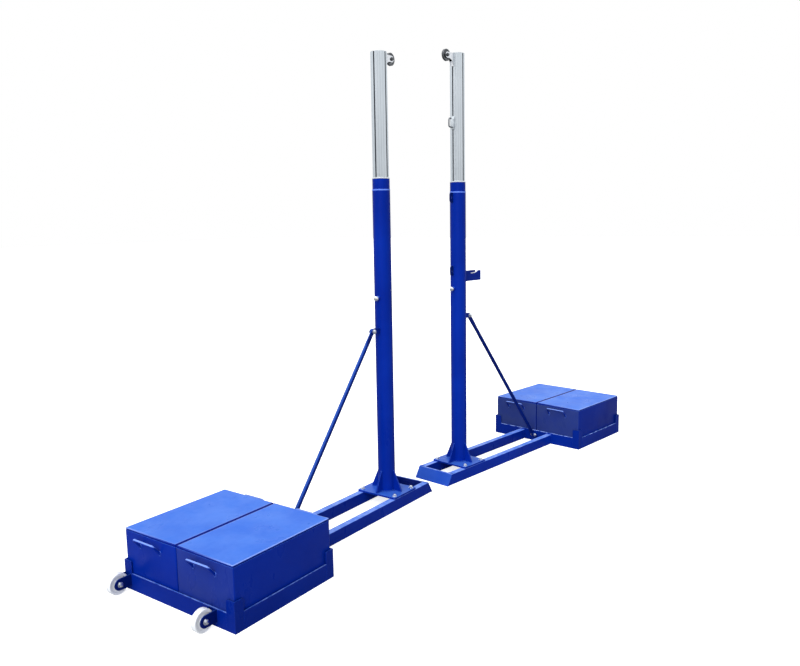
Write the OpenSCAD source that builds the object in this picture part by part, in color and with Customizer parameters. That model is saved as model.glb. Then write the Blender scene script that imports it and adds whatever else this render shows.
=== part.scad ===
// A pair of movable volleyball net posts: a plain post and a tension post.
// Each stands on a welded base with a ballast tray, and has a telescopic mast.
// The tension post's wheels are the plain post's, mirrored.
// Every sub-part is drawn in its own post's frame: the tube's axis is Z, the
// floor is z = 0, the toe points to +X and the ballast tray lies at -X.

/* [Lower tube] */
// Outer diameter of the lower tube
tube_d = 100; // [90:1:120]
// Wall of the lower tube
tube_wall = 3; // [2:0.5:3.5]
// Height of the lower tube's top edge above the floor
tube_top = 1816; // [1700:1:2000]
// Diameter of the guide collar that stands out of the lower tube
collar_d = 97; // [96:0.5:99]
// Height that the guide collar stands above the lower tube
collar_h = 64; // [30:1:100]
// Depth that the guide collar reaches into the lower tube
collar_depth = 60; // [30:1:120]

/* [Mast] */
// Outer diameter of the aluminium mast
mast_d = 90; // [80:1:91]
// Wall of the mast
mast_wall = 3; // [2:0.5:4]
// Length of the mast
mast_len = 1550; // [1450:10:1650]
// Height of the plain post's mast top above the floor
mast_top = 2550; // [2450:10:2650]
// How much further the tension post's mast is drawn out
tension_raise = 95; // [0:5:120]
// Width of the mast's four lengthwise grooves
groove_w = 8; // [6:0.5:12]
// Depth of the grooves
groove_depth = 9; // [7:0.5:12]
// Wall round the grooves
groove_wall = 2.5; // [2:0.5:4]
// Height of the plug that closes the mast's top
cap_h = 15; // [8:1:30]
// Height of the slide ring under the mast
slide_ring_h = 12; // [8:1:30]

/* [Clamp screw] */
// Height of the clamp screw above the floor
clamp_z = 1210; // [1160:5:1400]
// Diameter of the clamp screw's shank
clamp_d = 7; // [5:0.5:7]
// Diameter of the welded boss that holds the clamp screw
clamp_boss_d = 26; // [20:1:36]
// Length that the boss stands out of the tube
clamp_boss_len = 12; // [8:1:20]
// Diameter of the screw's domed knob
clamp_knob_d = 28; // [22:1:40]
// Height of the knob
clamp_knob_h = 16; // [12:1:24]

/* [Base frame] */
// Width over the two rails
base_w = 270; // [240:2:320]
// Width of one rail
rail_w = 40; // [36:2:50]
// Height of the rails
rail_h = 70; // [56:1:78]
// Wall of the rails
rail_wall = 3; // [2:0.5:4]
// Outer corner radius of the rails
rail_r = 5; // [4:0.5:8]
// Distance from the tube's axis to the toe's lower edge
toe_reach = 283; // [240:1:340]
// Set-back of the toe's upper edge
toe_slope = 42; // [0:1:60]
// Thickness of the toe bar
toe_t = 7; // [4:0.5:10]

/* [Foot of the tube] */
// Length of the foot plate along the rails
foot_len = 216; // [200:2:260]
// Thickness of the foot plate
foot_t = 10; // [6:1:14]
// Corner radius of the foot plate
foot_r = 8; // [2:1:15]
// Reach of the gussets beyond the tube
gusset_reach = 55; // [20:1:57]
// Height of the gussets
gusset_h = 120; // [60:1:160]
// Thickness of the gussets
gusset_t = 8; // [5:1:12]
// Distance between the foot bolts along the rails
foot_bolt_span = 164; // [140:2:180]
// Shank diameter of the foot bolts
foot_bolt_d = 12; // [8:1:14]

/* [Ballast tray] */
// Distance from the tube's axis to the tray
tray_x = 913; // [860:1:1100]
// Height of the tray's rim
rim_h = 80; // [70:1:110]
// Thickness of the rim and of the corner uprights
rim_t = 5; // [3:0.5:8]
// Thickness of the tray's floor
floor_t = 4; // [2:0.5:6]
// Leg of the corner uprights
upright_leg = 50; // [40:1:90]
// Height of the corner uprights
upright_h = 138; // [100:1:200]
// Corner radius at the uprights' tops
upright_r = 10; // [2:1:20]

/* [Weight blocks] */
// Length of one weight block along the base
block_len = 590; // [400:5:700]
// Width of one weight block
block_w = 352; // [280:2:420]
// Height of one weight block
block_h = 214; // [180:2:300]
// Gap between the two blocks
block_gap = 4; // [2:1:10]
// Play between the blocks and the rim
block_play = 4; // [2:1:10]
// Sheet thickness of a block's case
case_t = 3; // [2:0.5:5]
// Edge radius of the case's upright edges
case_r = 6; // [3:1:12]
// Diameter of the round bar that the handles are bent from
handle_bar_d = 12; // [8:1:14]
// Length of a handle over its legs' centre lines
handle_len = 136; // [120:2:220]
// Distance of the handle's bar from the case
handle_out = 36; // [30:1:60]
// Depth of the handle's bar below the case's top
handle_drop = 22; // [15:1:40]
// Fall of the handle's legs from the bar to the case
handle_fall = 44; // [20:1:60]
// Bend radius of the handle's corners
handle_bend = 14; // [8:1:20]

/* [Transport wheels] */
// Diameter of a transport wheel
wheel_d = 100; // [90:1:102]
// Width of a transport wheel
wheel_w = 32; // [24:1:40]
// Diameter of the wheel's hub
hub_d = 40; // [30:1:60]
// Height of a wheel's axle above the floor
axle_z = 52; // [51.5:0.5:60]
// Distance of the axle from the tray
axle_out = 61; // [54:1:80]
// Shank diameter of the axle bolts
axle_d = 12; // [8:1:16]
// Radius of the round end of a fork ear
ear_r = 27; // [16:1:30]
// Thickness of a fork ear
ear_t = 5; // [4:0.5:8]
// Play between a wheel and its ears
wheel_play = 2; // [1:0.5:4]
// Distance from the tray's left side to the left wheel's centre
left_wheel_in = 26; // [26:1:200]
// Distance from the tray's right side to the right wheel's centre
right_wheel_in = 128; // [26:1:200]

/* [Brace] */
// Diameter of the brace's round tube
brace_d = 24; // [18:1:30]
// Height of the brace's upper bolt above the floor
brace_top_z = 1028; // [900:2:1140]
// Distance of the upper bolt from the tube's surface
brace_top_out = 56; // [30:1:70]
// Height of the brace's lower bolt above the floor
brace_foot_z = 52; // [40:1:60]
// Distance of the lower bolt from the tray
brace_foot_out = 28; // [22:1:40]
// Thickness of the brace's flat ends
tongue_t = 8; // [5:1:12]
// Width of the brace's flat ends
tongue_w = 30; // [24:1:40]
// Length of the brace's flat ends beyond the bolt holes
tongue_len = 70; // [50:5:120]
// Thickness of the lugs' ears
lug_t = 6; // [4:1:10]
// Shank diameter of the brace's bolts
brace_bolt_d = 12; // [8:1:14]

/* [Top pulley] */
// Diameter of the pulley
pulley_d = 70; // [50:1:76]
// Width of the pulley
pulley_w = 14; // [12:1:20]
// Diameter of the rope that the pulley carries
rope_d = 8; // [5:0.5:9]
// Distance of the pulley's pin from the mast's axis
pulley_x = 106; // [96:1:130]
// Depth of the pulley's pin below the mast's top
pulley_drop = 22; // [15:1:40]
// Shank diameter of the pulley's pin
pulley_pin_d = 10; // [6:1:12]
// Thickness of the bracket's cheeks and back plate
cheek_t = 4; // [3:0.5:6]
// Height of the bracket's back plate
bracket_h = 76; // [60:1:100]

/* [Tension hardware] */
// Depth of the rope hook's centre below the mast's top
hook_drop = 414; // [300:1:450]
// Diameter of the hook's bar
hook_bar_d = 9; // [6:0.5:12]
// Reach of the hook from its plate
hook_out = 34; // [26:1:50]
// Height of the hook between its arms' centre lines
hook_h = 52; // [40:1:70]
// Height of the upper net eye's centre above the floor
eye_top_z = 1780; // [1600:5:1785]
// Height of the lower net eye's centre above the floor
eye_low_z = 1325; // [1280:5:1500]
// Height of a net eye
eye_h = 60; // [40:1:80]
// Reach of a net eye from the tube
eye_out = 30; // [24:1:45]
// Thickness of a net eye
eye_t = 6; // [4:1:10]
// Diameter of a net eye's hole
eye_hole_d = 14; // [8:1:16]
// Height of the cleat bracket's centre above the floor
cleat_z = 1284; // [1240:2:1340]
// Reach of the cleat bracket from the tube
cleat_out = 155; // [120:5:180]
// Height of the cleat bracket
cleat_h = 64; // [50:2:80]
// Width of the cleat bracket
cleat_w = 48; // [36:2:60]
// Sheet thickness of the cleat bracket
cleat_t = 4; // [3:0.5:6]
// Diameter of the cleat's bar
cleat_bar_d = 12; // [8:1:16]

/* [Layout of the pair] */
// Distance between the tubes' axes along X
pair_dx = 702; // [640:2:1000]
// Sideways offset of the tension post's axis
pair_dy = -74; // [-120:2:0]
// Angle by which the tension post misses facing the plain post squarely
pair_turn = 7.5; // [0:0.5:12]

/* [Fits] */
// Gap between parts that are welded or seated together
seat_gap = 0.3; // [0.1:0.1:0.5]
// Radial gap of a shank in its bolt hole
hole_gap = 0.25; // [0.1:0.05:0.5]
// Radial running gap of a wheel on its axle
run_gap = 0.05; // [0.02:0.01:0.1]
// Gap between the telescopic parts
slide_gap = 0.3; // [0.2:0.1:0.5]

/* [Hidden] */
$fn = 64;

paint_blue = [0.06, 0.16, 0.62];
mast_grey = [0.80, 0.84, 0.88];
zinc = [0.78, 0.79, 0.80];
nylon_white = [0.93, 0.93, 0.92];
cap_black = [0.12, 0.12, 0.13];
concrete_grey = [0.55, 0.54, 0.51];

// Lengths that cuts run past the solids
cut = 1;

// Lower tube and collar
tube_r = tube_d / 2;
tube_bore_r = tube_r - tube_wall;
foot_top = rail_h + foot_t;
mast_r = mast_d / 2;
channel_w = groove_w + 2 * groove_wall;
channel_in = mast_r - groove_depth - groove_wall;
grooves = [0, 90, 180, 270];
mast_bottom = mast_top - mast_len;
clamp_boss_end = tube_r + clamp_boss_len;
clamp_tip = mast_r - groove_depth + slide_gap;

// Base and tray, as distances from the tube's axis towards the tray
rail_y = (base_w - rail_w) / 2;
toe_tx = toe_t * sqrt(toe_slope * toe_slope + rail_h * rail_h) / rail_h;
tray_end = tray_x + block_len + 2 * (block_play + rim_t);
tray_half = block_w + block_gap / 2 + block_play + rim_t;
floor_z = rail_h + floor_t;
block_x = tray_x + rim_t + block_play;
left_wheel_y = tray_half - left_wheel_in;
right_wheel_y = right_wheel_in - tray_half;
axle_x = tray_end + axle_out;
ear_gap = wheel_w / 2 + wheel_play;

// Brace between its two bolts
brace_top = [-(tube_r + brace_top_out), brace_top_z];
brace_foot = [-(tray_x - brace_foot_out), brace_foot_z];
brace_span = brace_foot - brace_top;
brace_len = norm(brace_span);
brace_tilt = atan2(-brace_span[0], -brace_span[1]);

pulley_z = mast_top - pulley_drop;
cheek_y = pulley_w / 2 + wheel_play / 2;

// Shares of the cleat bracket's length and height that its scoop and its cleat take
scoop_share = 0.45;
scoop_depth_share = 0.3;
cleat_rise_share = 0.62;
cleat_half_share = 0.36;

// Plan outline of one post, for the pair's middle
wheel_edge = axle_x + wheel_d / 2;
bolt_grip = ear_gap + ear_t;
bolt_reach = bolt_grip + head_h(axle_d) + washer_t(axle_d) + tip_len(axle_d);
plan = [
    [-tray_end, tray_half], [-tray_end, -tray_half], [-tray_x, tray_half], [-tray_x, -tray_half],
    [toe_reach, base_w / 2], [toe_reach, -base_w / 2],
    [-wheel_edge, left_wheel_y + wheel_w / 2], [-wheel_edge, left_wheel_y - wheel_w / 2],
    [-wheel_edge, right_wheel_y + wheel_w / 2], [-wheel_edge, right_wheel_y - wheel_w / 2],
    [-axle_x - axle_d / 2, left_wheel_y + bolt_reach], [-axle_x + axle_d / 2, left_wheel_y + bolt_reach]
];
tension_turn = 180 - pair_turn;
pair_plan = concat(plan, [for (p = plan) turned([p[0], -p[1]], tension_turn) + [pair_dx, pair_dy]]);
pair_xs = [for (p = pair_plan) p[0]];
pair_ys = [for (p = pair_plan) p[1]];
mid_x = (min(pair_xs) + max(pair_xs)) / 2;
mid_y = (min(pair_ys) + max(pair_ys)) / 2;

function turned(p, a) = [p[0] * cos(a) - p[1] * sin(a), p[0] * sin(a) + p[1] * cos(a)];

// Proportions of hexagon bolts, from the shank diameter
function head_h(d) = 0.65 * d;
function head_r(d) = 0.87 * d;
function washer_t(d) = 0.2 * d;
function washer_r(d) = 1.1 * d;
function tip_len(d) = 0.35 * d;

// Distance of the rails' slanted end from the axis, at a height z
function toe_x(z) = toe_reach - toe_tx - toe_slope * z / rail_h;

// Places one post's own frame in the pair's frame
module on_plain() {
    translate([-mid_x, -mid_y, 0]) children();
}

module on_tension() {
    translate([pair_dx - mid_x, pair_dy - mid_y, 0]) rotate([0, 0, tension_turn]) children();
}

module on_tension_mast() {
    on_tension() translate([0, 0, tension_raise]) children();
}

// Rectangle with rounded corners, centred
module round_rect(w, h, r) {
    square([w - 2 * r, h], center = true);
    square([w, h - 2 * r], center = true);
    for (x = [-1, 1], y = [-1, 1])
        translate([x * (w / 2 - r), y * (h / 2 - r)]) circle(r);
}

// Outline drawn in X and Z, from y0 to y1
module upright_plate(y0, y1) {
    translate([0, y1, 0]) rotate([90, 0, 0]) linear_extrude(y1 - y0) children();
}

// Cylinder along Y, from y0 to y1
module y_rod(d, y0, y1) {
    translate([0, y1, 0]) rotate([90, 0, 0]) cylinder(d = d, h = y1 - y0);
}

// Hexagon along Y, from y0 to y1
module y_hex(r, y0, y1) {
    translate([0, y1, 0]) rotate([90, 0, 0]) cylinder(r = r, h = y1 - y0, $fn = 6);
}

// Round bar between two points
module bar(a, b, d) {
    v = b - a;
    translate(a)
        rotate([0, acos(v[2] / norm(v)), atan2(v[1], v[0])])
            cylinder(d = d, h = norm(v));
}

// Bolt along Y: its head lies at -Y, and its grip reaches from -grip to +grip
module cross_bolt(d, grip) {
    head_y = grip + washer_t(d);
    y_rod(d, -head_y, head_y + head_h(d) + tip_len(d));
    y_hex(head_r(d), -head_y - head_h(d), -head_y);
    y_hex(head_r(d), head_y, head_y + head_h(d));
    for (side = [-1, 1])
        y_rod(2 * washer_r(d), min(side * grip, side * head_y), max(side * grip, side * head_y));
}

// BASE FRAME

module rails() {
    start = tray_end - rim_t - seat_gap;
    color(paint_blue)
        for (side = [-1, 1]) difference() {
            translate([-start, side * rail_y, rail_h / 2])
                rotate([90, 0, 90])
                    linear_extrude(start + toe_reach) difference() {
                        round_rect(rail_w, rail_h, rail_r);
                        round_rect(rail_w - 2 * rail_wall, rail_h - 2 * rail_wall, rail_r - rail_wall);
                    }
            translate([0, side * rail_y, 0])
                upright_plate(-rail_w, rail_w)
                    polygon([
                        [toe_x(-cut), -cut], [toe_reach + cut, -cut],
                        [toe_reach + cut, rail_h + cut], [toe_x(rail_h + cut), rail_h + cut]
                    ]);
            for (end = [-1, 1])
                translate([end * foot_bolt_span / 2, side * rail_y, rail_h / 2])
                    cylinder(d = foot_bolt_d + 2 * hole_gap, h = rail_h);
        }
}

module toe_bar() {
    color(paint_blue)
        upright_plate(-base_w / 2, base_w / 2)
            polygon([
                [toe_x(0), 0], [toe_x(0) + toe_tx, 0],
                [toe_x(rail_h) + toe_tx, rail_h], [toe_x(rail_h), rail_h]
            ]);
}

module foot_plate() {
    color(paint_blue)
        translate([0, 0, rail_h]) linear_extrude(foot_t) difference() {
            round_rect(foot_len, base_w, foot_r);
            for (x = [-1, 1], y = [-1, 1])
                translate([x * foot_bolt_span / 2, y * rail_y]) circle(d = foot_bolt_d + 2 * hole_gap);
        }
}

module gussets() {
    color(paint_blue)
        for (turn = [0 : 90 : 270])
            rotate([0, 0, turn]) difference() {
                upright_plate(-gusset_t / 2, gusset_t / 2)
                    polygon([
                        [tube_r - cut, foot_top], [tube_r + gusset_reach, foot_top],
                        [tube_r + gusset_reach, foot_top + gusset_t],
                        [tube_r + gusset_t / 2, foot_top + gusset_h],
                        [tube_r - cut, foot_top + gusset_h]
                    ]);
                cylinder(r = tube_r, h = foot_top + gusset_h + cut, $fn = 96);
            }
}

module foot_bolts() {
    d = foot_bolt_d;
    wall_under = rail_h - rail_wall;
    nut_z = foot_top + washer_t(d);
    color(zinc)
        for (x = [-1, 1], y = [-1, 1])
            translate([x * foot_bolt_span / 2, y * rail_y, 0]) {
                translate([0, 0, wall_under - head_h(d)])
                    cylinder(d = d, h = nut_z + 2 * head_h(d) + tip_len(d) - wall_under);
                translate([0, 0, wall_under - head_h(d)]) cylinder(r = head_r(d), h = head_h(d), $fn = 6);
                translate([0, 0, foot_top]) cylinder(r = washer_r(d), h = washer_t(d));
                translate([0, 0, nut_z]) cylinder(r = head_r(d), h = head_h(d), $fn = 6);
            }
}

// BALLAST TRAY

module tray_rim() {
    inner_y = tray_half - upright_leg;
    side_len = tray_end - tray_x - 2 * upright_leg;
    color(paint_blue) {
        translate([-tray_end, -inner_y, 0]) cube([rim_t, 2 * inner_y, rim_h]);
        difference() {
            translate([-tray_x - rim_t, -inner_y, 0]) cube([rim_t, 2 * inner_y, rim_h]);
            for (side = [-1, 1])
                translate([-tray_x - rim_t / 2, side * rail_y, rail_h / 2])
                    cube([3 * rim_t, rail_w + 2 * seat_gap, rail_h + 2 * seat_gap], center = true);
        }
        for (side = [-1, 1])
            translate([-tray_end + upright_leg, side * (tray_half - rim_t / 2) - rim_t / 2, 0])
                cube([side_len, rim_t, rim_h]);
    }
}

module tray_floor() {
    inset = rim_t + seat_gap;
    color(paint_blue)
        translate([-tray_end + inset, -tray_half + inset, rail_h])
            cube([tray_end - tray_x - 2 * inset, 2 * (tray_half - inset), floor_t]);
}

// One leg of a corner upright, with its free top corner rounded
module upright_leg_outline() {
    square([upright_leg - upright_r, upright_h]);
    square([upright_leg, upright_h - upright_r]);
    translate([upright_leg - upright_r, upright_h - upright_r]) circle(upright_r);
}

module corner_uprights() {
    mid = -(tray_x + tray_end) / 2;
    half_len = (tray_end - tray_x) / 2;
    color(paint_blue)
        translate([mid, 0, 0])
            for (x = [0, 1], y = [0, 1])
                mirror([x, 0, 0]) mirror([0, y, 0])
                    translate([half_len, tray_half, 0]) {
                        mirror([1, 0, 0]) upright_plate(-rim_t, 0) upright_leg_outline();
                        mirror([1, -1, 0]) mirror([1, 0, 0]) upright_plate(-rim_t, 0) upright_leg_outline();
                    }
}

// WEIGHT BLOCKS

// Bent bar handle on the case's end at x = 0, reaching to -X, with its legs' ends run into the case
module handle() {
    leg = norm([handle_out, handle_fall]);
    straight = handle_len / 2 - handle_bend;
    translate([-handle_out, 0, -handle_drop]) rotate([0, atan2(handle_fall, handle_out), 0]) {
        y_rod(handle_bar_d, -straight, straight);
        for (side = [0, 1])
            mirror([0, side, 0]) {
                translate([handle_bend, straight, 0]) rotate([0, 0, 90]) rotate_extrude(angle = 90)
                    translate([handle_bend, 0]) circle(d = handle_bar_d);
                translate([handle_bend, handle_len / 2, 0]) rotate([0, 90, 0])
                    cylinder(d = handle_bar_d, h = leg - handle_bend + handle_bar_d / 2);
            }
    }
}

// Closed steel case with a handle welded to each end
module weight_case(side) {
    centre_y = side * (block_w + block_gap) / 2;
    color(paint_blue)
        translate([-block_x - block_len / 2, centre_y, floor_z]) difference() {
            union() {
                linear_extrude(block_h) round_rect(block_len, block_w, case_r);
                for (end = [0, 1])
                    mirror([end, 0, 0]) translate([-block_len / 2, 0, block_h]) handle();
            }
            translate([0, 0, case_t])
                linear_extrude(block_h - 2 * case_t)
                    round_rect(block_len - 2 * case_t, block_w - 2 * case_t, case_r - case_t / 2);
        }
}

// Cast ballast that fills a case
module weight_fill(side) {
    skin = case_t + seat_gap;
    centre_y = side * (block_w + block_gap) / 2;
    color(concrete_grey)
        translate([-block_x - block_len / 2, centre_y, floor_z + skin])
            linear_extrude(block_h - 2 * skin)
                round_rect(block_len - 2 * skin, block_w - 2 * skin, case_r - case_t / 2);
}

// TRANSPORT WHEELS

module wheel_forks() {
    color(paint_blue)
        for (y = [left_wheel_y, right_wheel_y], side = [-1, 1]) {
            inner = y + side * ear_gap;
            outer = inner + side * ear_t;
            upright_plate(min(inner, outer), max(inner, outer)) difference() {
                union() {
                    translate([-axle_x, axle_z - ear_r]) square([axle_out, 2 * ear_r]);
                    translate([-axle_x, axle_z]) circle(ear_r);
                }
                translate([-axle_x, axle_z]) circle(d = axle_d + 2 * hole_gap);
            }
        }
}

// Solid nylon wheel with a stepped rim, turning about Y
module transport_wheel(y) {
    bore_r = axle_d / 2 + run_gap;
    hub_r = hub_d / 2;
    rim_r = wheel_d / 2;
    tread = 6;
    recess = 7;
    step = 3;
    half = wheel_w / 2;
    color(nylon_white)
        translate([-axle_x, y, axle_z]) rotate([90, 0, 0]) rotate_extrude($fn = 96)
            polygon([
                [bore_r, -half], [hub_r - step, -half], [hub_r, step - half], [hub_r, recess - half],
                [rim_r - 2 * tread, recess - half], [rim_r - 2 * tread, step - half],
                [rim_r - tread, step - half], [rim_r - tread, 0.5 * step - half],
                [rim_r - step, 0.5 * step - half], [rim_r, 1.5 * step - half],
                [rim_r, half - 1.5 * step], [rim_r - step, half - 0.5 * step],
                [rim_r - tread, half - 0.5 * step], [rim_r - tread, half - step],
                [rim_r - 2 * tread, half - step], [rim_r - 2 * tread, half - recess],
                [hub_r, half - recess], [hub_r, half - step], [hub_r - step, half], [bore_r, half]
            ]);
}

module wheel_bolts() {
    color(zinc)
        for (y = [left_wheel_y, right_wheel_y])
            translate([-axle_x, y, axle_z]) cross_bolt(axle_d, bolt_grip);
}

// LOWER TUBE

// Lower tube with a welded boss for the clamp screw, at +X or -X
module outer_tube(side) {
    color(paint_blue)
        difference() {
            union() {
                translate([0, 0, foot_top]) cylinder(r = tube_r, h = tube_top - foot_top, $fn = 96);
                translate([0, 0, clamp_z]) rotate([0, side * 90, 0])
                    cylinder(d = clamp_boss_d, h = clamp_boss_end);
            }
            translate([0, 0, foot_top - cut])
                cylinder(r = tube_bore_r, h = tube_top - foot_top + 2 * cut, $fn = 96);
            translate([0, 0, clamp_z]) rotate([0, side * 90, 0])
                cylinder(d = clamp_d + 2 * hole_gap, h = clamp_boss_end + cut);
        }
}

module guide_collar() {
    bore = mast_r + slide_gap;
    chamfer = (collar_d / 2 - bore) / 2;
    color(paint_blue)
        translate([0, 0, tube_top]) rotate_extrude($fn = 96)
            polygon([
                [bore, -collar_depth], [tube_bore_r - seat_gap / 2, -collar_depth],
                [tube_bore_r - seat_gap / 2, 0], [collar_d / 2, 0],
                [collar_d / 2, collar_h - chamfer], [collar_d / 2 - chamfer, collar_h], [bore, collar_h]
            ]);
}

// Domed clamp screw: its tip rides in the mast's groove, at +X or -X
module clamp_screw(side) {
    neck = clamp_boss_end + seat_gap;
    color(zinc)
        translate([0, 0, clamp_z]) rotate([0, side * 90, 0]) {
            translate([0, 0, clamp_tip]) cylinder(d = clamp_d, h = neck - clamp_tip + cut);
            translate([0, 0, neck]) rotate_extrude()
                intersection() {
                    square([clamp_knob_d / 2, clamp_knob_h]);
                    translate([0, clamp_knob_h - clamp_knob_d]) circle(clamp_knob_d);
                }
        }
}

// MAST

module mast_tube() {
    color(mast_grey)
        translate([0, 0, mast_bottom]) linear_extrude(mast_len) difference() {
            union() {
                difference() {
                    circle(mast_r, $fn = 96);
                    circle(mast_r - mast_wall, $fn = 96);
                }
                intersection() {
                    circle(mast_r - mast_wall / 2, $fn = 96);
                    for (turn = grooves)
                        rotate(turn) translate([channel_in, -channel_w / 2])
                            square([mast_r - channel_in, channel_w]);
                }
            }
            for (turn = grooves)
                rotate(turn) translate([mast_r - groove_depth, -groove_w / 2]) square([mast_r, groove_w]);
        }
}

// Plug inside the mast's top, cut round the grooves' walls
module mast_cap() {
    color(cap_black)
        translate([0, 0, mast_top - cap_h - seat_gap]) linear_extrude(cap_h) difference() {
            circle(mast_r - mast_wall - seat_gap);
            for (turn = grooves)
                rotate(turn) translate([channel_in - seat_gap, -channel_w / 2 - seat_gap])
                    square([mast_r, channel_w + 2 * seat_gap]);
        }
}

// Slide ring under the mast, with a spigot up between the grooves' walls
module slide_ring() {
    spigot = 2 * slide_ring_h;
    color(cap_black) {
        translate([0, 0, mast_bottom - slide_ring_h])
            cylinder(r = tube_bore_r - slide_gap, h = slide_ring_h, $fn = 96);
        translate([0, 0, mast_bottom - cut]) cylinder(r = channel_in - seat_gap, h = spigot + cut);
    }
}

// Tongue that sits in the groove at +X behind a plate of the height h, centred on z
module groove_tongue(z, h) {
    depth = groove_depth - seat_gap;
    translate([mast_r - depth, seat_gap - groove_w / 2, z - h / 2])
        cube([depth + cut, groove_w - 2 * seat_gap, h]);
}

// TOP PULLEY

module pulley_bracket() {
    back_x = mast_r + cheek_t;
    cheek_r = pulley_d / 4;
    low = pulley_z + cheek_r - bracket_h;
    back_z = pulley_z + cheek_r - bracket_h / 2;
    scoop = pulley_z - cheek_r - low;
    color(zinc) {
        translate([mast_r, -cheek_y - cheek_t, low]) cube([cheek_t, 2 * (cheek_y + cheek_t), bracket_h]);
        groove_tongue(back_z, bracket_h);
        for (side = [-1, 1])
            upright_plate(min(side * cheek_y, side * (cheek_y + cheek_t)),
                          max(side * cheek_y, side * (cheek_y + cheek_t))) difference() {
                union() {
                    translate([back_x - cut, low]) square([scoop + cut, bracket_h]);
                    translate([back_x - cut, pulley_z - cheek_r])
                        square([pulley_x - back_x + cut, 2 * cheek_r]);
                    translate([pulley_x, pulley_z]) circle(cheek_r);
                }
                translate([back_x + scoop, low]) circle(scoop);
                translate([pulley_x, pulley_z]) circle(d = pulley_pin_d + 2 * hole_gap);
            }
    }
}

module pulley_wheel() {
    bore_r = pulley_pin_d / 2 + run_gap;
    rim_r = pulley_d / 2;
    half = pulley_w / 2;
    recess = 2;
    web = half - recess;
    hub_r = pulley_pin_d;
    rim_band = 5;
    rim_in = rim_r - rope_d / 2 - rim_band;
    color(zinc)
        translate([pulley_x, 0, pulley_z]) rotate([90, 0, 0]) rotate_extrude($fn = 96) difference() {
            polygon([
                [bore_r, -half], [hub_r, -half], [hub_r, -web], [rim_in, -web], [rim_in, -half],
                [rim_r, -half], [rim_r, half], [rim_in, half], [rim_in, web], [hub_r, web],
                [hub_r, half], [bore_r, half]
            ]);
            translate([rim_r, 0]) circle(d = rope_d);
        }
}

module pulley_pin() {
    color(zinc)
        translate([pulley_x, 0, pulley_z]) cross_bolt(pulley_pin_d, cheek_y + cheek_t);
}

// BRACE

// Flat end of the brace: the bolt hole is at the origin, and the bar goes to -Z
module brace_tongue() {
    upright_plate(-tongue_t / 2, tongue_t / 2) difference() {
        union() {
            circle(d = tongue_w);
            translate([-tongue_w / 2, -tongue_len]) square([tongue_w, tongue_len]);
        }
        circle(d = brace_bolt_d + 2 * hole_gap);
    }
}

module brace() {
    color(paint_blue)
        translate([brace_foot[0], 0, brace_foot[1]]) rotate([0, brace_tilt, 0]) {
            translate([0, 0, tongue_len - brace_d / 2])
                cylinder(d = brace_d, h = brace_len - 2 * tongue_len + brace_d);
            translate([0, 0, brace_len]) brace_tongue();
            mirror([0, 0, 1]) brace_tongue();
        }
}

// Two ears on each side of a flat end, given as an outline in X and Z
module lug_ears() {
    inner = tongue_t / 2 + seat_gap;
    for (side = [0, 1])
        mirror([0, side, 0]) upright_plate(inner, inner + lug_t) children();
}

module brace_lugs() {
    ear = tongue_w / 2;
    hole_d = brace_bolt_d + 2 * hole_gap;
    color(paint_blue) {
        difference() {
            lug_ears() difference() {
                union() {
                    translate([brace_top[0], brace_top[1] - ear])
                        square([brace_top_out + tube_r / 4, 2 * ear]);
                    translate(brace_top) circle(ear);
                }
                translate(brace_top) circle(d = hole_d);
            }
            translate([0, 0, brace_top[1] - tube_d]) cylinder(r = tube_r, h = 2 * tube_d, $fn = 96);
        }
        lug_ears() difference() {
            union() {
                translate([-tray_x, brace_foot[1] - ear]) square([brace_foot_out, 2 * ear]);
                translate(brace_foot) circle(ear);
            }
            translate(brace_foot) circle(d = hole_d);
        }
    }
}

module brace_bolts() {
    color(zinc)
        for (p = [brace_top, brace_foot])
            translate([p[0], 0, p[1]]) cross_bolt(brace_bolt_d, tongue_t / 2 + seat_gap + lug_t);
}

// TENSION HARDWARE

// Chrome rope hook: a plate on the mast with an open loop of round bar that ends in a ball
module rope_hook() {
    z = mast_top - hook_drop;
    plate_w = 3 * hook_bar_d;
    plate_h = hook_h + plate_w;
    root = mast_r + cheek_t;
    bend = 1.5 * hook_bar_d;
    tip = root + 2 * hook_bar_d;
    ball_d = 1.4 * hook_bar_d;
    reach = root + hook_out;
    color(zinc) {
        translate([mast_r, -plate_w / 2, z - plate_h / 2]) cube([cheek_t, plate_w, plate_h]);
        groove_tongue(z, plate_h);
        translate([0, 0, z]) rotate([90, 0, 0]) {
            translate([root - cut, -hook_h / 2, 0]) rotate([0, 90, 0])
                cylinder(d = hook_bar_d, h = reach - bend - root + cut);
            translate([reach - bend, bend - hook_h / 2, 0]) rotate([0, 0, -90]) rotate_extrude(angle = 90)
                translate([bend, 0]) circle(d = hook_bar_d);
            translate([reach, bend - hook_h / 2, 0]) rotate([-90, 0, 0])
                cylinder(d = hook_bar_d, h = hook_h - 2 * bend);
            translate([reach - bend, hook_h / 2 - bend, 0]) rotate_extrude(angle = 90)
                translate([bend, 0]) circle(d = hook_bar_d);
            translate([tip, hook_h / 2, 0]) rotate([0, 90, 0])
                cylinder(d = hook_bar_d, h = reach - bend - tip);
            translate([tip, hook_h / 2, 0]) sphere(d = ball_d);
        }
    }
}

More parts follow.
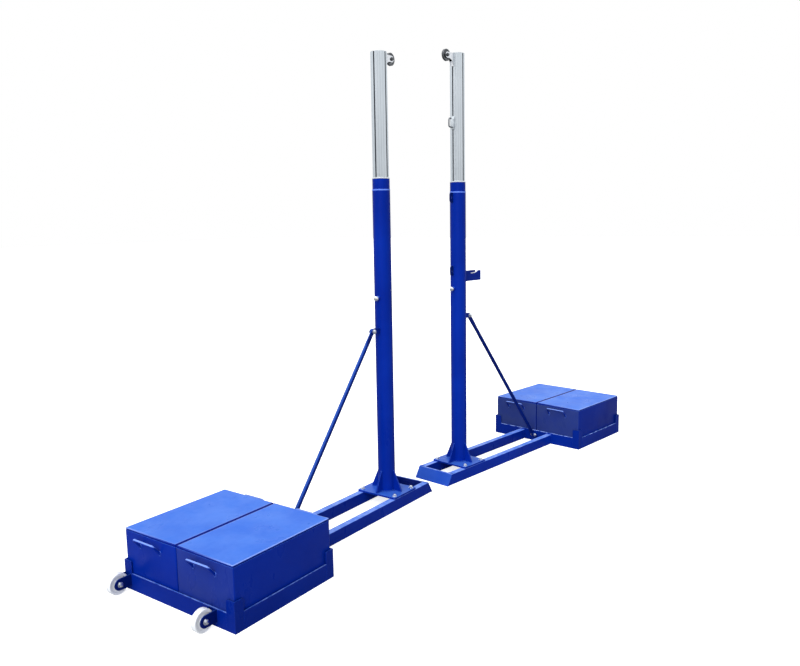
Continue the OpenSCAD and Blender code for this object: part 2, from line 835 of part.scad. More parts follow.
// Two eye plates on the tube's net side, for the net's side cords
module net_eyes() {
    corner = eye_hole_d;
    root = 5;
    color(paint_blue)
        for (z = [eye_top_z, eye_low_z]) difference() {
            upright_plate(-eye_t / 2, eye_t / 2) difference() {
                union() {
                    translate([tube_r - root, z - eye_h / 2]) square([root + eye_out - corner, eye_h]);
                    translate([tube_r - root, z - eye_h / 2 + corner])
                        square([root + eye_out, eye_h - 2 * corner]);
                    for (end = [-1, 1])
                        translate([tube_r + eye_out - corner, z + end * (eye_h / 2 - corner)])
                            circle(corner);
                }
                translate([tube_r + eye_out / 2, z]) circle(d = eye_hole_d);
            }
            translate([0, 0, z - eye_h]) cylinder(r = tube_r, h = 2 * eye_h, $fn = 96);
        }
}

// Open channel on the tube's tray side; one cheek is scooped out at its top
module cleat_bracket() {
    end_x = -(tube_r + cleat_out);
    low = cleat_z - cleat_h / 2;
    scoop_r = scoop_share * cleat_out;
    scoop_depth = scoop_depth_share * cleat_h;
    color(paint_blue)
        difference() {
            translate([end_x, -cleat_w / 2, low]) cube([cleat_out + tube_r / 2, cleat_w, cleat_h]);
            translate([end_x - cut, cleat_t - cleat_w / 2, low + cleat_t])
                cube([cleat_out + tube_r, cleat_w - 2 * cleat_t, cleat_h]);
            translate([0, 0, low - cut]) cylinder(r = tube_r, h = cleat_h + 2 * cut, $fn = 96);
            translate([-tube_r - cleat_out / 2, cleat_w / 2 + cut, low + cleat_h + scoop_r - scoop_depth])
                rotate([90, 0, 0]) cylinder(r = scoop_r, h = cleat_t + 2 * cut);
        }
}

// Horn cleat that stands on the bracket's floor
module cleat() {
    centre_x = -tube_r - cleat_out / 2;
    seat = cleat_z - cleat_h / 2 + cleat_t;
    bar_z = seat + cleat_rise_share * cleat_h;
    half = cleat_half_share * cleat_out;
    tip_rise = cleat_bar_d / 2;
    post_d = 1.4 * cleat_bar_d;
    tip_d = 1.25 * cleat_bar_d;
    color(zinc) {
        translate([centre_x, 0, seat]) cylinder(d = 2 * cleat_bar_d, h = cleat_t);
        translate([centre_x, 0, seat]) cylinder(d = post_d, h = bar_z - seat);
        for (side = [-1, 1]) {
            tip = [centre_x + side * half, 0, bar_z + tip_rise];
            bar([centre_x, 0, bar_z], tip, cleat_bar_d);
            translate(tip) sphere(d = tip_d);
        }
    }
}

on_plain() rails();  // plain_rails
on_plain() toe_bar();  // plain_toe_bar
on_plain() tray_rim();  // plain_tray_rim
on_plain() tray_floor();  // plain_tray_floor
on_plain() corner_uprights();  // plain_corner_uprights
on_plain() wheel_forks();  // plain_wheel_forks
on_plain() transport_wheel(left_wheel_y);  // plain_left_wheel
on_plain() transport_wheel(right_wheel_y);  // plain_right_wheel
on_plain() wheel_bolts();  // plain_wheel_bolts
on_plain() foot_plate();  // plain_foot_plate
on_plain() gussets();  // plain_gussets
on_plain() foot_bolts();  // plain_foot_bolts
on_plain() outer_tube(-1);  // plain_outer_tube
on_plain() guide_collar();  // plain_guide_collar
on_plain() mast_tube();  // plain_mast_tube
on_plain() slide_ring();  // plain_slide_ring
on_plain() mast_cap();  // plain_mast_cap
on_plain() pulley_bracket();  // plain_pulley_bracket
on_plain() pulley_wheel();  // plain_pulley_wheel
on_plain() pulley_pin();  // plain_pulley_pin
on_plain() brace();  // plain_brace
on_plain() brace_lugs();  // plain_brace_lugs
on_plain() brace_bolts();  // plain_brace_bolts
on_plain() weight_case(1);  // plain_left_weight_case
on_plain() weight_fill(1);  // plain_left_weight_fill
on_plain() weight_case(-1);  // plain_right_weight_case
on_plain() weight_fill(-1);  // plain_right_weight_fill
on_plain() clamp_screw(-1);  // plain_clamp_screw
on_tension() rails();  // tension_rails
on_tension() toe_bar();  // tension_toe_bar
on_tension() tray_rim();  // tension_tray_rim
on_tension() tray_floor();  // tension_tray_floor
on_tension() corner_uprights();  // tension_corner_uprights
on_tension() mirror([0, 1, 0]) wheel_forks();  // tension_wheel_forks
on_tension() transport_wheel(-right_wheel_y);  // tension_left_wheel
on_tension() transport_wheel(-left_wheel_y);  // tension_right_wheel
on_tension() mirror([0, 1, 0]) wheel_bolts();  // tension_wheel_bolts
on_tension() foot_plate();  // tension_foot_plate
on_tension() gussets();  // tension_gussets
on_tension() foot_bolts();  // tension_foot_bolts
on_tension() outer_tube(1);  // tension_outer_tube
on_tension() guide_collar();  // tension_guide_collar
on_tension_mast() mast_tube();  // tension_mast_tube
on_tension_mast() slide_ring();  // tension_slide_ring
on_tension_mast() mast_cap();  // tension_mast_cap
on_tension_mast() pulley_bracket();  // tension_pulley_bracket
on_tension_mast() pulley_wheel();  // tension_pulley_wheel
on_tension_mast() pulley_pin();  // tension_pulley_pin
on_tension() brace();  // tension_brace
on_tension() brace_lugs();  // tension_brace_lugs
on_tension() brace_bolts();  // tension_brace_bolts
on_tension() weight_case(1);  // tension_left_weight_case
on_tension() weight_fill(1);  // tension_left_weight_fill
on_tension() weight_case(-1);  // tension_right_weight_case
on_tension() weight_fill(-1);  // tension_right_weight_fill
on_tension() clamp_screw(1);  // tension_clamp_screw
on_tension_mast() rope_hook();  // tension_rope_hook
on_tension() net_eyes();  // tension_net_eyes
on_tension() cleat_bracket();  // tension_cleat_bracket
on_tension() cleat();  // tension_cleat
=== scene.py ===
"""Looks of a pair of movable volleyball net posts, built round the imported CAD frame.

Lengths are metres. Each post has its own frame: the tube's axis is Z, the toe points to +X
and the ballast tray lies at -X. onto_post() carries points from there to the pair's frame.
"""

import math

import bpy
import numpy as np
from mathutils import Matrix


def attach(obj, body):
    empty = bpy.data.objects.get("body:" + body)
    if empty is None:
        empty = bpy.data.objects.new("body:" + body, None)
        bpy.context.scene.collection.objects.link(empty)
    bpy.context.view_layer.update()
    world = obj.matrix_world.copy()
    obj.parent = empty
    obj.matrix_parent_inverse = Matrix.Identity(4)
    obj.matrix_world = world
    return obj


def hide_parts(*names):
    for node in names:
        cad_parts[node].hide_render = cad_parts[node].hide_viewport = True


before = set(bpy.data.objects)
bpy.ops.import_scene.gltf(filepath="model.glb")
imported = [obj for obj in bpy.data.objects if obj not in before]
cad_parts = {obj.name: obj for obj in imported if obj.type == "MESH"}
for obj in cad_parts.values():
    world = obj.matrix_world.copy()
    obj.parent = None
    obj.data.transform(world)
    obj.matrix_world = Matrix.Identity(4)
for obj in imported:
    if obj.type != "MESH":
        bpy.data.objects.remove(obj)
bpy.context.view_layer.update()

# PLACES AND SIZES, the same as the CAD source gives in millimetres

POSTS = {
    "plain": {"at": (-0.367057, 0.129012), "turn": 0.0, "raise": 0.0, "clamp": -1},
    "tension": {"at": (0.334943, 0.055012), "turn": 172.5, "raise": 0.095, "clamp": 1},
}
TUBE_R = 0.050
TUBE_TOP = 1.816
COLLAR_R = 0.0485
COLLAR_TOP = 1.880
MAST_R = 0.045
MAST_TOP = 2.550
MAST_LEN = 1.550
RAIL_Y = 0.115
RAIL_H = 0.070
FOOT_TOP = 0.080
GUSSET_TIP = 0.1035
GUSSET_TOP = 0.198
TRAY_NEAR = 0.913
TRAY_FAR = 1.521
TRAY_HALF = 0.363
TRAY_FLOOR = 0.074
RIM_H = 0.080
UPRIGHT_LEG = 0.050
BLOCK_NEAR = 0.922
CASE_LEN = 0.590
CASE_WIDE = 0.352
CASE_H = 0.214
CASE_Y = 0.178
AXLE_X = -1.582
AXLE_Z = 0.052
WHEEL_Y = {"plain": {"left": 0.337, "right": -0.235}, "tension": {"left": 0.235, "right": -0.337}}
BRACE_TOP = (-0.106, 1.028)
BRACE_FOOT = (-0.885, 0.052)
CLAMP_Z = 1.210
PULLEY_X = 0.106
PULLEY_Z = MAST_TOP - 0.022
NET_EYES_Z = (1.780, 1.325)
BRACKET_LOW = 1.252
BRACKET_HIGH = 1.316

# CAMERA, at the photograph's viewing angle

camera_data = bpy.data.cameras.new("camera")
camera_data.sensor_width = 36.0
camera_data.lens = 34.034
camera_data.clip_start, camera_data.clip_end = 0.05, 200.0
camera = bpy.data.objects.new("camera", camera_data)
bpy.context.scene.collection.objects.link(camera)
bpy.context.scene.camera = camera


def aim(eye, yaw, pitch, roll):
    """Camera matrix: it looks along the heading yaw (0 is +Y, negative towards +X), raised by
    pitch and leaning by roll, in degrees.
    """
    y, p, r = (math.radians(a) for a in (yaw, pitch, roll))
    ahead = np.array([-math.sin(y) * math.cos(p), math.cos(y) * math.cos(p), math.sin(p)])
    level = np.cross(ahead, [0.0, 0.0, 1.0])
    level /= np.linalg.norm(level)
    above = np.cross(level, ahead)
    side = level * math.cos(r) + above * math.sin(r)
    up = above * math.cos(r) - level * math.sin(r)
    columns = np.stack([side, up, -ahead, np.array(eye)], axis=1)
    return Matrix([*columns.tolist(), [0.0, 0.0, 0.0, 1.0]])


camera.matrix_world = aim((-3.801357, -2.438388, 1.6344), -54.45, -8.35, -0.94)

# MATERIALS


class Finish:
    """A material being made: its nodes, and short ways to add and join them."""

    def __init__(self, name, **sockets):
        self.material = bpy.data.materials.new(name)
        self.material.use_nodes = True
        self.tree = self.material.node_tree
        self.shader = self.tree.nodes["Principled BSDF"]
        for socket, value in sockets.items():
            self.shader.inputs[socket.replace("_", " ")].default_value = value

    def node(self, kind, inputs=(), **settings):
        """A node with its settings, and its inputs given as numbers, colours or other nodes'
        outputs.
        """
        made = self.tree.nodes.new(kind)
        for key, value in settings.items():
            setattr(made, key, value)
        for key, value in dict(inputs).items():
            if isinstance(value, bpy.types.NodeSocket):
                self.tree.links.new(value, made.inputs[key])
            else:
                made.inputs[key].default_value = value
        return made

    def drive(self, socket, output):
        """Joins an output to one of the shader's sockets."""
        self.tree.links.new(output, self.shader.inputs[socket])

    def noise(self, scale, detail=3.0, stretch=(1.0, 1.0, 1.0), rough=0.55):
        """Cloudy noise in real metres: scale is lumps per metre, stretched along the axes."""
        place = self.node("ShaderNodeTexCoord").outputs["Object"]
        size = [scale * s for s in stretch]
        mapped = self.node("ShaderNodeMapping", {"Vector": place, "Scale": size})
        cloud = self.node(
            "ShaderNodeTexNoise",
            {
                "Vector": mapped.outputs["Vector"],
                "Scale": 1.0,
                "Detail": detail,
                "Roughness": rough,
            },
        )
        return cloud.outputs["Fac"]

    def span(self, value, low, high, out_low=0.0, out_high=1.0):
        """Smooth step: out_low below low, out_high above high."""
        ramp = self.node(
            "ShaderNodeMapRange",
            {
                "Value": value,
                "From Min": low,
                "From Max": high,
                "To Min": out_low,
                "To Max": out_high,
            },
            interpolation_type="SMOOTHSTEP",
        )
        return ramp.outputs["Result"]

    def math(self, operation, first, second=0.0):
        """Arithmetic on two numbers or outputs."""
        return self.node("ShaderNodeMath", {0: first, 1: second}, operation=operation).outputs[0]

    def blend(self, share, first, second):
        """Colour between first and second."""
        mixed = self.node("ShaderNodeMix", {0: share, 6: first, 7: second}, data_type="RGBA")
        return mixed.outputs[2]

    def bump(self, height, depth, normal=None):
        """Bump of that depth in metres where height goes from 0 to 1."""
        inputs = {"Height": height, "Distance": depth, "Strength": 1.0}
        if normal is not None:
            inputs["Normal"] = normal
        return self.node("ShaderNodeBump", inputs).outputs["Normal"]

    def edges(self, radius, low, high):
        """1 on edges sharper than the radius, 0 on flats: how far the rounded normal leaves the
        true one.
        """
        rounded = self.node("ShaderNodeBevel", {"Radius": radius}, samples=6).outputs["Normal"]
        true = self.node("ShaderNodeNewGeometry").outputs["Normal"]
        dot = self.node("ShaderNodeVectorMath", {0: rounded, 1: true}, operation="DOT_PRODUCT")
        return self.span(self.math("SUBTRACT", 1.0, dot.outputs["Value"]), low, high)


def rgb(red, green, blue):
    """Colour socket value from linear red, green and blue."""
    return (red, green, blue, 1.0)


# Linear colours of the blue paint: clean; painted sky light on its tops; a painted grey reflection
# on its ends; paler edges and top edge lines, partly abrasion and partly painted highlight; painted
# shade in its grooves and joints; and primer at chips

PAINT_DEEP, PAINT_CLEAR = (0.0006, 0.0155, 0.245), (0.0012, 0.023, 0.315)
PAINT_SKYLIT_TOP, PAINT_SKYLIT_TOP_BRIGHT = rgb(0.036, 0.150, 0.69), rgb(0.072, 0.210, 0.76)
PAINT_REFLECTED_GREY = rgb(0.050, 0.070, 0.140)
PAINT_WORN_AND_LIT = rgb(0.14, 0.26, 0.85)
PAINT_CREST_GLINT = rgb(0.30, 0.42, 0.92)
PAINT_RUBBED_AND_LIT = rgb(0.26, 0.38, 0.88)
PAINT_SEAM_SHADE = rgb(0.0002, 0.011, 0.22)
PRIMER = rgb(0.56, 0.60, 0.68)


def blue_enamel(name, chips, rubbed_and_lit=0.0, tone=1.0, top_skylight=1.0, edge_wear_and_glint=0.55, end_reflection=0.0, crest_glint=None):
    """Royal blue enamel over steel: cloudy depth of colour, orange peel, painted sky light that
    makes it paler where it faces up, edges paler partly from abrasion and partly as a painted
    highlight, and chips on edges. rubbed_and_lit is the share that is pale all over, partly from
    abrasion and partly as a painted highlight, tone the depth of the colour, top_skylight how much
    painted sky light pales its tops, edge_wear_and_glint how pale its edges are, end_reflection how
    strongly a painted grey reflection greys its faces towards -X, and crest_glint the height of a
    top edge that carries a patchy painted highlight, partly abrasion, with the least and the most
    of it. A piece's own rub_and_glint attribute marks where its upper side carries a painted
    highlight, partly abrasion, and its shaded_seam attribute where painted shade darkens its
    grooves and joints.
    """
    f = Finish(name, Specular_IOR_Level=0.06)
    cloud = f.span(f.noise(2.2, 4.0), 0.3, 0.7)
    deep, clear = (rgb(*[tone * c for c in colour]) for colour in (PAINT_DEEP, PAINT_CLEAR))
    side = f.blend(cloud, deep, clear)
    # Painted sky light: the paler top colour, in two mottled tones.
    skylit_mottle = f.span(f.noise(6.0, 5.0, rough=0.65), 0.25, 0.75)
    top = f.blend(skylit_mottle, PAINT_SKYLIT_TOP, PAINT_SKYLIT_TOP_BRIGHT)
    rounded = f.node("ShaderNodeBevel", {"Radius": 0.0016}, samples=6).outputs["Normal"]
    level = f.node("ShaderNodeSeparateXYZ", {0: f.node("ShaderNodeNewGeometry").outputs["Normal"]})
    # Painted reflection: faces that point towards -X are greyed in patches.
    if end_reflection > 0.0:
        faces_minus_x = f.span(f.math("MULTIPLY", level.outputs["X"], -1.0), 0.6, 0.9)
        patchy = f.span(f.noise(7.0, 5.0), 0.3, 0.7, 0.8 * end_reflection, 1.2 * end_reflection)
        end_reflection = f.math("MULTIPLY", faces_minus_x, patchy)
        side = f.blend(end_reflection, side, PAINT_REFLECTED_GREY)
    # Painted sky light: the share of the top colour grows as a face turns up.
    up = f.span(level.outputs["Z"], 0.30, 0.90, 0.0, top_skylight)
    colour = f.blend(up, side, top)
    # Edges paler: partly abrasion, partly a painted highlight where they catch the light.
    edge = f.edges(0.0027, 0.02, 0.25)
    worn_and_lit = f.math("MULTIPLY", edge, f.span(f.noise(14.0, 2.0), 0.3, 0.75, 0.35, 1.0))
    worn_and_lit = f.math("MAXIMUM", f.math("MULTIPLY", worn_and_lit, edge_wear_and_glint), 0.85 * rubbed_and_lit)
    colour = f.blend(worn_and_lit, colour, PAINT_WORN_AND_LIT)
    # Painted highlight along a top edge, in patches like abrasion.
    if crest_glint is not None:
        place = f.node("ShaderNodeSeparateXYZ", {0: f.node("ShaderNodeTexCoord").outputs["Object"]})
        height, least, most = crest_glint
        line = f.span(place.outputs["Z"], height - 0.0032, height - 0.0014)
        patchy = f.math("MULTIPLY", line, f.span(f.noise(24.0, 2.0), 0.42, 0.56, least, most))
        colour = f.blend(patchy, colour, PAINT_CREST_GLINT)
    # Painted highlight on the upper side of what rub_and_glint marks, partly abrasion.
    rub_and_glint = f.node("ShaderNodeAttribute", attribute_name="rub_and_glint").outputs["Fac"]
    rub_and_glint = f.math("MULTIPLY", rub_and_glint, f.span(level.outputs["Z"], 0.20, 0.75))
    colour = f.blend(rub_and_glint, colour, PAINT_RUBBED_AND_LIT)
    spots = f.span(f.noise(55.0, 4.0, rough=0.65), 1.0 - chips, 1.04 - chips)
    chip = f.math("MULTIPLY", spots, edge)
    colour = f.blend(chip, colour, PRIMER)
    # Painted shade in grooves and joints, where shaded_seam marks them.
    shaded_seam = f.node("ShaderNodeAttribute", attribute_name="shaded_seam").outputs["Fac"]
    f.drive("Base Color", f.blend(shaded_seam, colour, PAINT_SEAM_SHADE))
    smear = f.span(f.noise(9.0, 5.0, (1.0, 1.0, 0.4)), 0.3, 0.75, 0.26, 0.44)
    f.drive("Roughness", f.math("MAXIMUM", smear, f.math("MULTIPLY", chip, 0.6)))
    peel = f.bump(f.noise(420.0, 2.0), 0.00006, rounded)
    f.drive("Normal", f.bump(f.noise(34.0, 2.0), 0.00007, peel))
    return f.material


def drawn_aluminium(name):
    """Anodised aluminium extrusion: fine die lines along Z, satin gloss, faint handling smears,
    and painted shade where the shaded_seam attribute marks its grooves and fine lines.
    """
    f = Finish(name, Metallic=1.0)
    lines = f.noise(900.0, 2.0, (1.0, 1.0, 0.004))
    cloud = f.noise(5.0, 3.0, (1.0, 1.0, 0.35))
    tone = f.math("ADD", f.math("MULTIPLY", lines, 0.35), f.math("MULTIPLY", cloud, 0.65))
    colour = f.blend(f.span(tone, 0.3, 0.7), rgb(0.61, 0.65, 0.69), rgb(0.77, 0.81, 0.85))
    edge = f.edges(0.0015, 0.02, 0.3)
    colour = f.blend(f.math("MULTIPLY", edge, 0.6), colour, rgb(0.85, 0.87, 0.9))
    # Painted shade in the mast's grooves and fine lines.
    shaded_seam = f.node("ShaderNodeAttribute", attribute_name="shaded_seam").outputs["Fac"]
    f.drive("Base Color", f.blend(shaded_seam, colour, rgb(0.22, 0.24, 0.27)))
    f.drive("Roughness", f.span(cloud, 0.25, 0.75, 0.34, 0.48))
    f.drive("Normal", f.bump(lines, 0.00004))
    return f.material


def plated(name, dull, clear, rough_low, rough_high):
    """Plated steel: a mottled bright metal from dull to clear, with dulled patches and bright
    edges.
    """
    f = Finish(name, Metallic=1.0)
    mottle = f.noise(160.0, 4.0)
    patch = f.noise(38.0, 3.0)
    edge = f.edges(0.0008, 0.02, 0.3)
    colour = f.blend(f.span(mottle, 0.35, 0.65), dull, clear)
    f.drive("Base Color", f.blend(f.math("MULTIPLY", edge, 0.5), colour, rgb(0.93, 0.94, 0.95)))
    f.drive("Roughness", f.span(patch, 0.3, 0.7, rough_low, rough_high))
    f.drive("Normal", f.bump(f.noise(900.0, 2.0), 0.00002))
    return f.material


def moulded(name, pale, dark, rough, grain):
    """Moulded plastic: faint clouds of tone, a fine grain, and scuffs that are rougher and darker.
    """
    f = Finish(name, Specular_IOR_Level=0.45)
    cloud = f.noise(26.0, 3.0)
    scuff = f.span(f.noise(120.0, 5.0, rough=0.7), 0.6, 0.72)
    colour = f.blend(f.span(cloud, 0.3, 0.7), pale, dark)
    scuffed = rgb(*[0.8 * c for c in dark[:3]])
    f.drive("Base Color", f.blend(f.math("MULTIPLY", scuff, 0.35), colour, scuffed))
    f.drive("Roughness", f.math("ADD", f.math("MULTIPLY", scuff, 0.2), rough))
    f.drive("Normal", f.bump(f.noise(grain, 2.0), 0.00005))
    return f.material


def cast_ballast(name):
    """Cast concrete: grey clouds, dark pores and a sandy surface."""
    f = Finish(name, Specular_IOR_Level=0.3)
    pores = f.span(f.noise(240.0, 4.0), 0.62, 0.68)
    cloud = f.span(f.noise(12.0, 4.0), 0.3, 0.7)
    colour = f.blend(cloud, rgb(0.22, 0.21, 0.20), rgb(0.36, 0.35, 0.33))
    f.drive("Base Color", f.blend(pores, colour, rgb(0.08, 0.08, 0.075)))
    f.drive("Roughness", f.span(pores, 0.0, 1.0, 0.85, 0.95))
    f.drive("Normal", f.bump(f.noise(700.0, 3.0), 0.0003))
    return f.material


ENAMEL = blue_enamel("blue_enamel", 0.30)
CASED = blue_enamel("case_blue_enamel", 0.0)
# The plain post's right case: a painted grey reflection on its ends.
REFLECTING = blue_enamel("reflecting_blue_enamel", 0.0, end_reflection=0.22)
# The tension post's cases: a darker copy of the paint as painted shade, with a stronger painted
# grey reflection.
SHADED_REFLECTING = blue_enamel("shaded_reflecting_blue_enamel", 0.0, tone=0.8, end_reflection=0.45)
# Darker copy of the paint: painted shade on the fork ears, also used on the net eyes.
SHADED = blue_enamel("shaded_blue_enamel", 0.10, tone=0.4, top_skylight=0.15, edge_wear_and_glint=0.15)
# Darker copy of the paint: painted shade on the uprights, lugs and cleat bracket.
UPRIGHT = blue_enamel("upright_blue_enamel", 0.10, tone=0.75, top_skylight=0.1, edge_wear_and_glint=0.15)
WELDED = blue_enamel("weld_blue_enamel", 0.0, tone=0.85, top_skylight=0.4, edge_wear_and_glint=0.1)
# Darker copy of the paint: painted shade on the brace, with painted sky light on its upper side.
BRACED = blue_enamel("brace_blue_enamel", 0.10, tone=0.5, top_skylight=0.7, edge_wear_and_glint=0.15)
FOOTED = blue_enamel("foot_blue_enamel", 0.25, top_skylight=0.58)
# Rims and rails: a patchy painted highlight along the top edge, partly abrasion, strongest on the
# tension post's rim.
RIMMED = blue_enamel("rim_blue_enamel", 0.20, tone=0.8, top_skylight=0.5, crest_glint=(RIM_H, 0.05, 0.30))
SCUFFED_AND_GLINTING = blue_enamel("scuffed_glinting_rim_blue_enamel", 0.30, tone=0.8, crest_glint=(RIM_H, 0.05, 1.0))
RAILED = blue_enamel("rail_blue_enamel", 0.20, crest_glint=(RAIL_H, 0.25, 0.55))
# Pale all over: a painted highlight, with some abrasion, for the tube's top lip.
RUBBED_AND_LIT = blue_enamel("rubbed_and_lit_blue_enamel", 0.42, 1.0)
ALUMINIUM = drawn_aluminium("drawn_aluminium")
ZINC = plated("zinc_plating", rgb(0.60, 0.63, 0.68), rgb(0.82, 0.85, 0.89), 0.20, 0.40)
CHROME = plated("chrome_plating", rgb(0.62, 0.63, 0.66), rgb(0.82, 0.83, 0.86), 0.05, 0.14)
# Darkened plated steel: a painted dark reflection on the chromed hook.
REFLECTION_DARK_STEEL = plated("reflection_dark_steel", rgb(0.15, 0.155, 0.17), rgb(0.30, 0.31, 0.33), 0.18, 0.34)
NYLON = moulded("white_nylon", rgb(0.86, 0.87, 0.89), rgb(0.82, 0.83, 0.86), 0.4, 300.0)
PLASTIC = moulded("black_plastic", rgb(0.028, 0.028, 0.03), rgb(0.018, 0.018, 0.02), 0.45, 420.0)
BALLAST = cast_ballast("cast_ballast")
# Darkened plated steel: painted shade on the pulley and its pin.
SHADE_DARK_STEEL = plated("shade_dark_steel", rgb(0.08, 0.083, 0.09), rgb(0.18, 0.185, 0.195), 0.25, 0.4)
BARE = plated("rubbed_bare_steel", rgb(0.66, 0.68, 0.71), rgb(0.84, 0.86, 0.89), 0.2, 0.35)

NODE_FINISH = {
    "mast_tube": ALUMINIUM,
    "mast_cap": PLASTIC,
    "slide_ring": PLASTIC,
    "weight_fill": BALLAST,
    "wheel_bolts": ZINC,
    "foot_bolts": ZINC,
    "brace_bolts": ZINC,
    "clamp_screw": ZINC,
    "left_wheel": NYLON,
    "right_wheel": NYLON,
    "pulley": CHROME,
    "rope_hook": CHROME,
    "tension_cleat": CHROME,
    "tray_rim": RIMMED,
    "toe_bar": RAILED,
    "rail": RAILED,
    "foot_plate": FOOTED,
    "gusset": FOOTED,
    "tension_tray_rim": SCUFFED_AND_GLINTING,
    "upright": UPRIGHT,
    "fork": SHADED,
    "lug": UPRIGHT,
    "net_eyes": SHADED,
}


def finish_of(node):
    """Material of a CAD node, by the last matching word of its name, and blue enamel otherwise."""
    if node.endswith("cleat_bracket"):
        return UPRIGHT
    fits = [word for word in NODE_FINISH if word in node]
    return NODE_FINISH[fits[-1]] if fits else ENAMEL


for name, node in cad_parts.items():
    node.data.materials.clear()
    node.data.materials.append(finish_of(name))

# SHAPES: every surface is closed rings of points joined by quads


def skin(rings, ends="cap"):
    """Closed surface through rings of points (sections, points, 3), each turning left about the
    way ahead: neighbours are joined by quads, and flat caps close the ends, or the last ring joins
    the first.
    """
    count, around = rings.shape[:2]
    index = np.arange(count * around).reshape(count, around)
    here = index if ends == "loop" else index[:-1]
    ahead = np.roll(index, -1, axis=0) if ends == "loop" else index[1:]
    quads = np.stack([here, np.roll(here, -1, 1), np.roll(ahead, -1, 1), ahead], axis=-1)
    faces = quads.reshape(-1, 4).tolist()
    if ends == "cap":
        faces += [index[0][::-1].tolist(), index[-1].tolist()]
    return rings.reshape(-1, 3), faces


def soften(corners, radius, steps=4, closed=True):
    """Outline with its corners rounded: each corner P becomes a quadratic curve from A to B, which
    lie the radius away on its two sides, or at their middles on a short side.
    """
    p = np.asarray(corners, float)
    radius = np.broadcast_to(np.asarray(radius, float), (len(p),))[:, None]
    to_last, to_next = np.roll(p, 1, 0) - p, np.roll(p, -1, 0) - p
    last_len = np.linalg.norm(to_last, axis=1, keepdims=True)
    next_len = np.linalg.norm(to_next, axis=1, keepdims=True)
    a = p + to_last * np.minimum(radius / last_len, 0.48)
    b = p + to_next * np.minimum(radius / next_len, 0.48)
    t = np.linspace(0.0, 1.0, steps + 1)[None, :, None]
    curve = (1 - t) ** 2 * a[:, None] + 2 * t * (1 - t) * p[:, None] + t**2 * b[:, None]
    if closed:
        return curve.reshape(-1, p.shape[1])
    middle = curve[1:-1].reshape(-1, p.shape[1])
    return np.concatenate([p[:1], middle, p[-1:]])


def lathe(profile, around=64):
    """A closed profile of (radius, height), turning left, carried round Z."""
    turn = np.linspace(0.0, 2 * math.pi, around, endpoint=False)[:, None]
    r, z = np.asarray(profile, float)[::-1].T
    rings = np.stack([r * np.cos(turn), r * np.sin(turn), z + 0 * turn], axis=-1)
    return skin(rings, "loop")


def stack(heights, radii, around=48):
    """Rings about Z at these heights; a radius is one number, or one for each point of the ring.
    Flat caps close it.
    """
    turn = np.linspace(0.0, 2 * math.pi, around, endpoint=False)
    r = np.stack([np.broadcast_to(radius, (around,)) for radius in radii])
    z = np.asarray(heights, float)[:, None] + 0 * turn
    return skin(np.stack([r * np.cos(turn), r * np.sin(turn), z], axis=-1))


def sweep(path, radius, up, sides=12, ends="cap", share=None):
    """A circle of that radius carried along a path. Its first axis is up x ahead and its second is
    ahead x the first. share scales the radius at each point.
    """
    path = np.asarray(path, float)
    if ends == "loop":
        ahead = np.roll(path, -1, 0) - np.roll(path, 1, 0)
    else:
        ahead = np.gradient(path, axis=0)
    ahead /= np.linalg.norm(ahead, axis=1, keepdims=True)
    across = np.cross(np.broadcast_to(up, path.shape), ahead)
    across /= np.linalg.norm(across, axis=1, keepdims=True)
    above = np.cross(ahead, across)
    phi = np.linspace(0.0, 2 * math.pi, sides, endpoint=False)[None, :, None]
    ring = np.cos(phi) * across[:, None] + np.sin(phi) * above[:, None]
    size = radius * (1.0 if share is None else np.asarray(share)[:, None, None])
    return skin(path[:, None] + size * ring, ends)


def rounded(width, depth, radius, steps=5):
    """Rectangle outline with quarter-circle corners, turning left, centred."""
    t = np.linspace(0.0, math.pi / 2, steps + 1)
    arc = radius * np.stack([np.cos(t), np.sin(t)], axis=-1)
    x, y = width / 2 - radius, depth / 2 - radius
    quarters = []
    for k, centre in enumerate([(x, y), (-x, y), (-x, -y), (x, -y)]):
        c, s = math.cos(k * math.pi / 2), math.sin(k * math.pi / 2)
        quarters.append(arc @ np.array([[c, s], [-s, c]]) + centre)
    return np.concatenate(quarters)


def block(width, depth, radius, profile):
    """Box with rounded upright edges: at each (inset, height) of the profile, its outline drawn in
    by the inset.
    """
    rings = []
    for inset, z in profile:
        outline = rounded(width - 2 * inset, depth - 2 * inset, max(radius - inset, 0.001))
        rings.append(np.column_stack([outline, np.full(len(outline), z)]))
    return skin(np.stack(rings))


def refine(path, gap):
    """Polyline with points added so that none are farther apart than the gap."""
    path = np.asarray(path, float)
    parts = []
    for a, b in zip(path[:-1], path[1:]):
        count = max(1, int(math.ceil(np.linalg.norm(b - a) / gap)))
        parts.append(a + (b - a) * np.linspace(0, 1, count, endpoint=False)[:, None])
    return np.concatenate([*parts, path[-1:]])


def bead(path, radius, up, closed=False):
    """Weld bead: a thin tube along the path whose radius swells with each pass of the torch, in
    unequal ripples.
    """
    path = refine(path, 0.0022)
    if closed:
        path = path[:-1]
    k = np.arange(len(path))
    ripple = 1.0 + 0.13 * np.sin(k * 2.1) + 0.07 * np.sin(k * 0.61 + 1.0)
    if not closed:
        ripple *= np.clip(np.minimum(k, k[::-1]) / 2.0 + 0.45, 0.0, 1.0)
    return sweep(path, radius, up, 8, "loop" if closed else "cap", ripple)


def circle_path(radius, z, start=0.0, end=360.0, count=97):
    """Arc about Z at that height, from one angle to another, in degrees."""
    t = np.radians(np.linspace(start, end, count))
    return np.column_stack([radius * np.cos(t), radius * np.sin(t), np.full(count, z)])


# Turns of a shape that was made along Z: along_x and along_y point its Z to +X and +Y


def along_x(shape):
    """Z becomes X, X becomes Y and Y becomes Z."""
    return shape[0][:, [2, 0, 1]], shape[1]


def along_y(shape):
    """Z becomes Y, Y becomes X and X becomes Z."""
    return shape[0][:, [1, 2, 0]], shape[1]


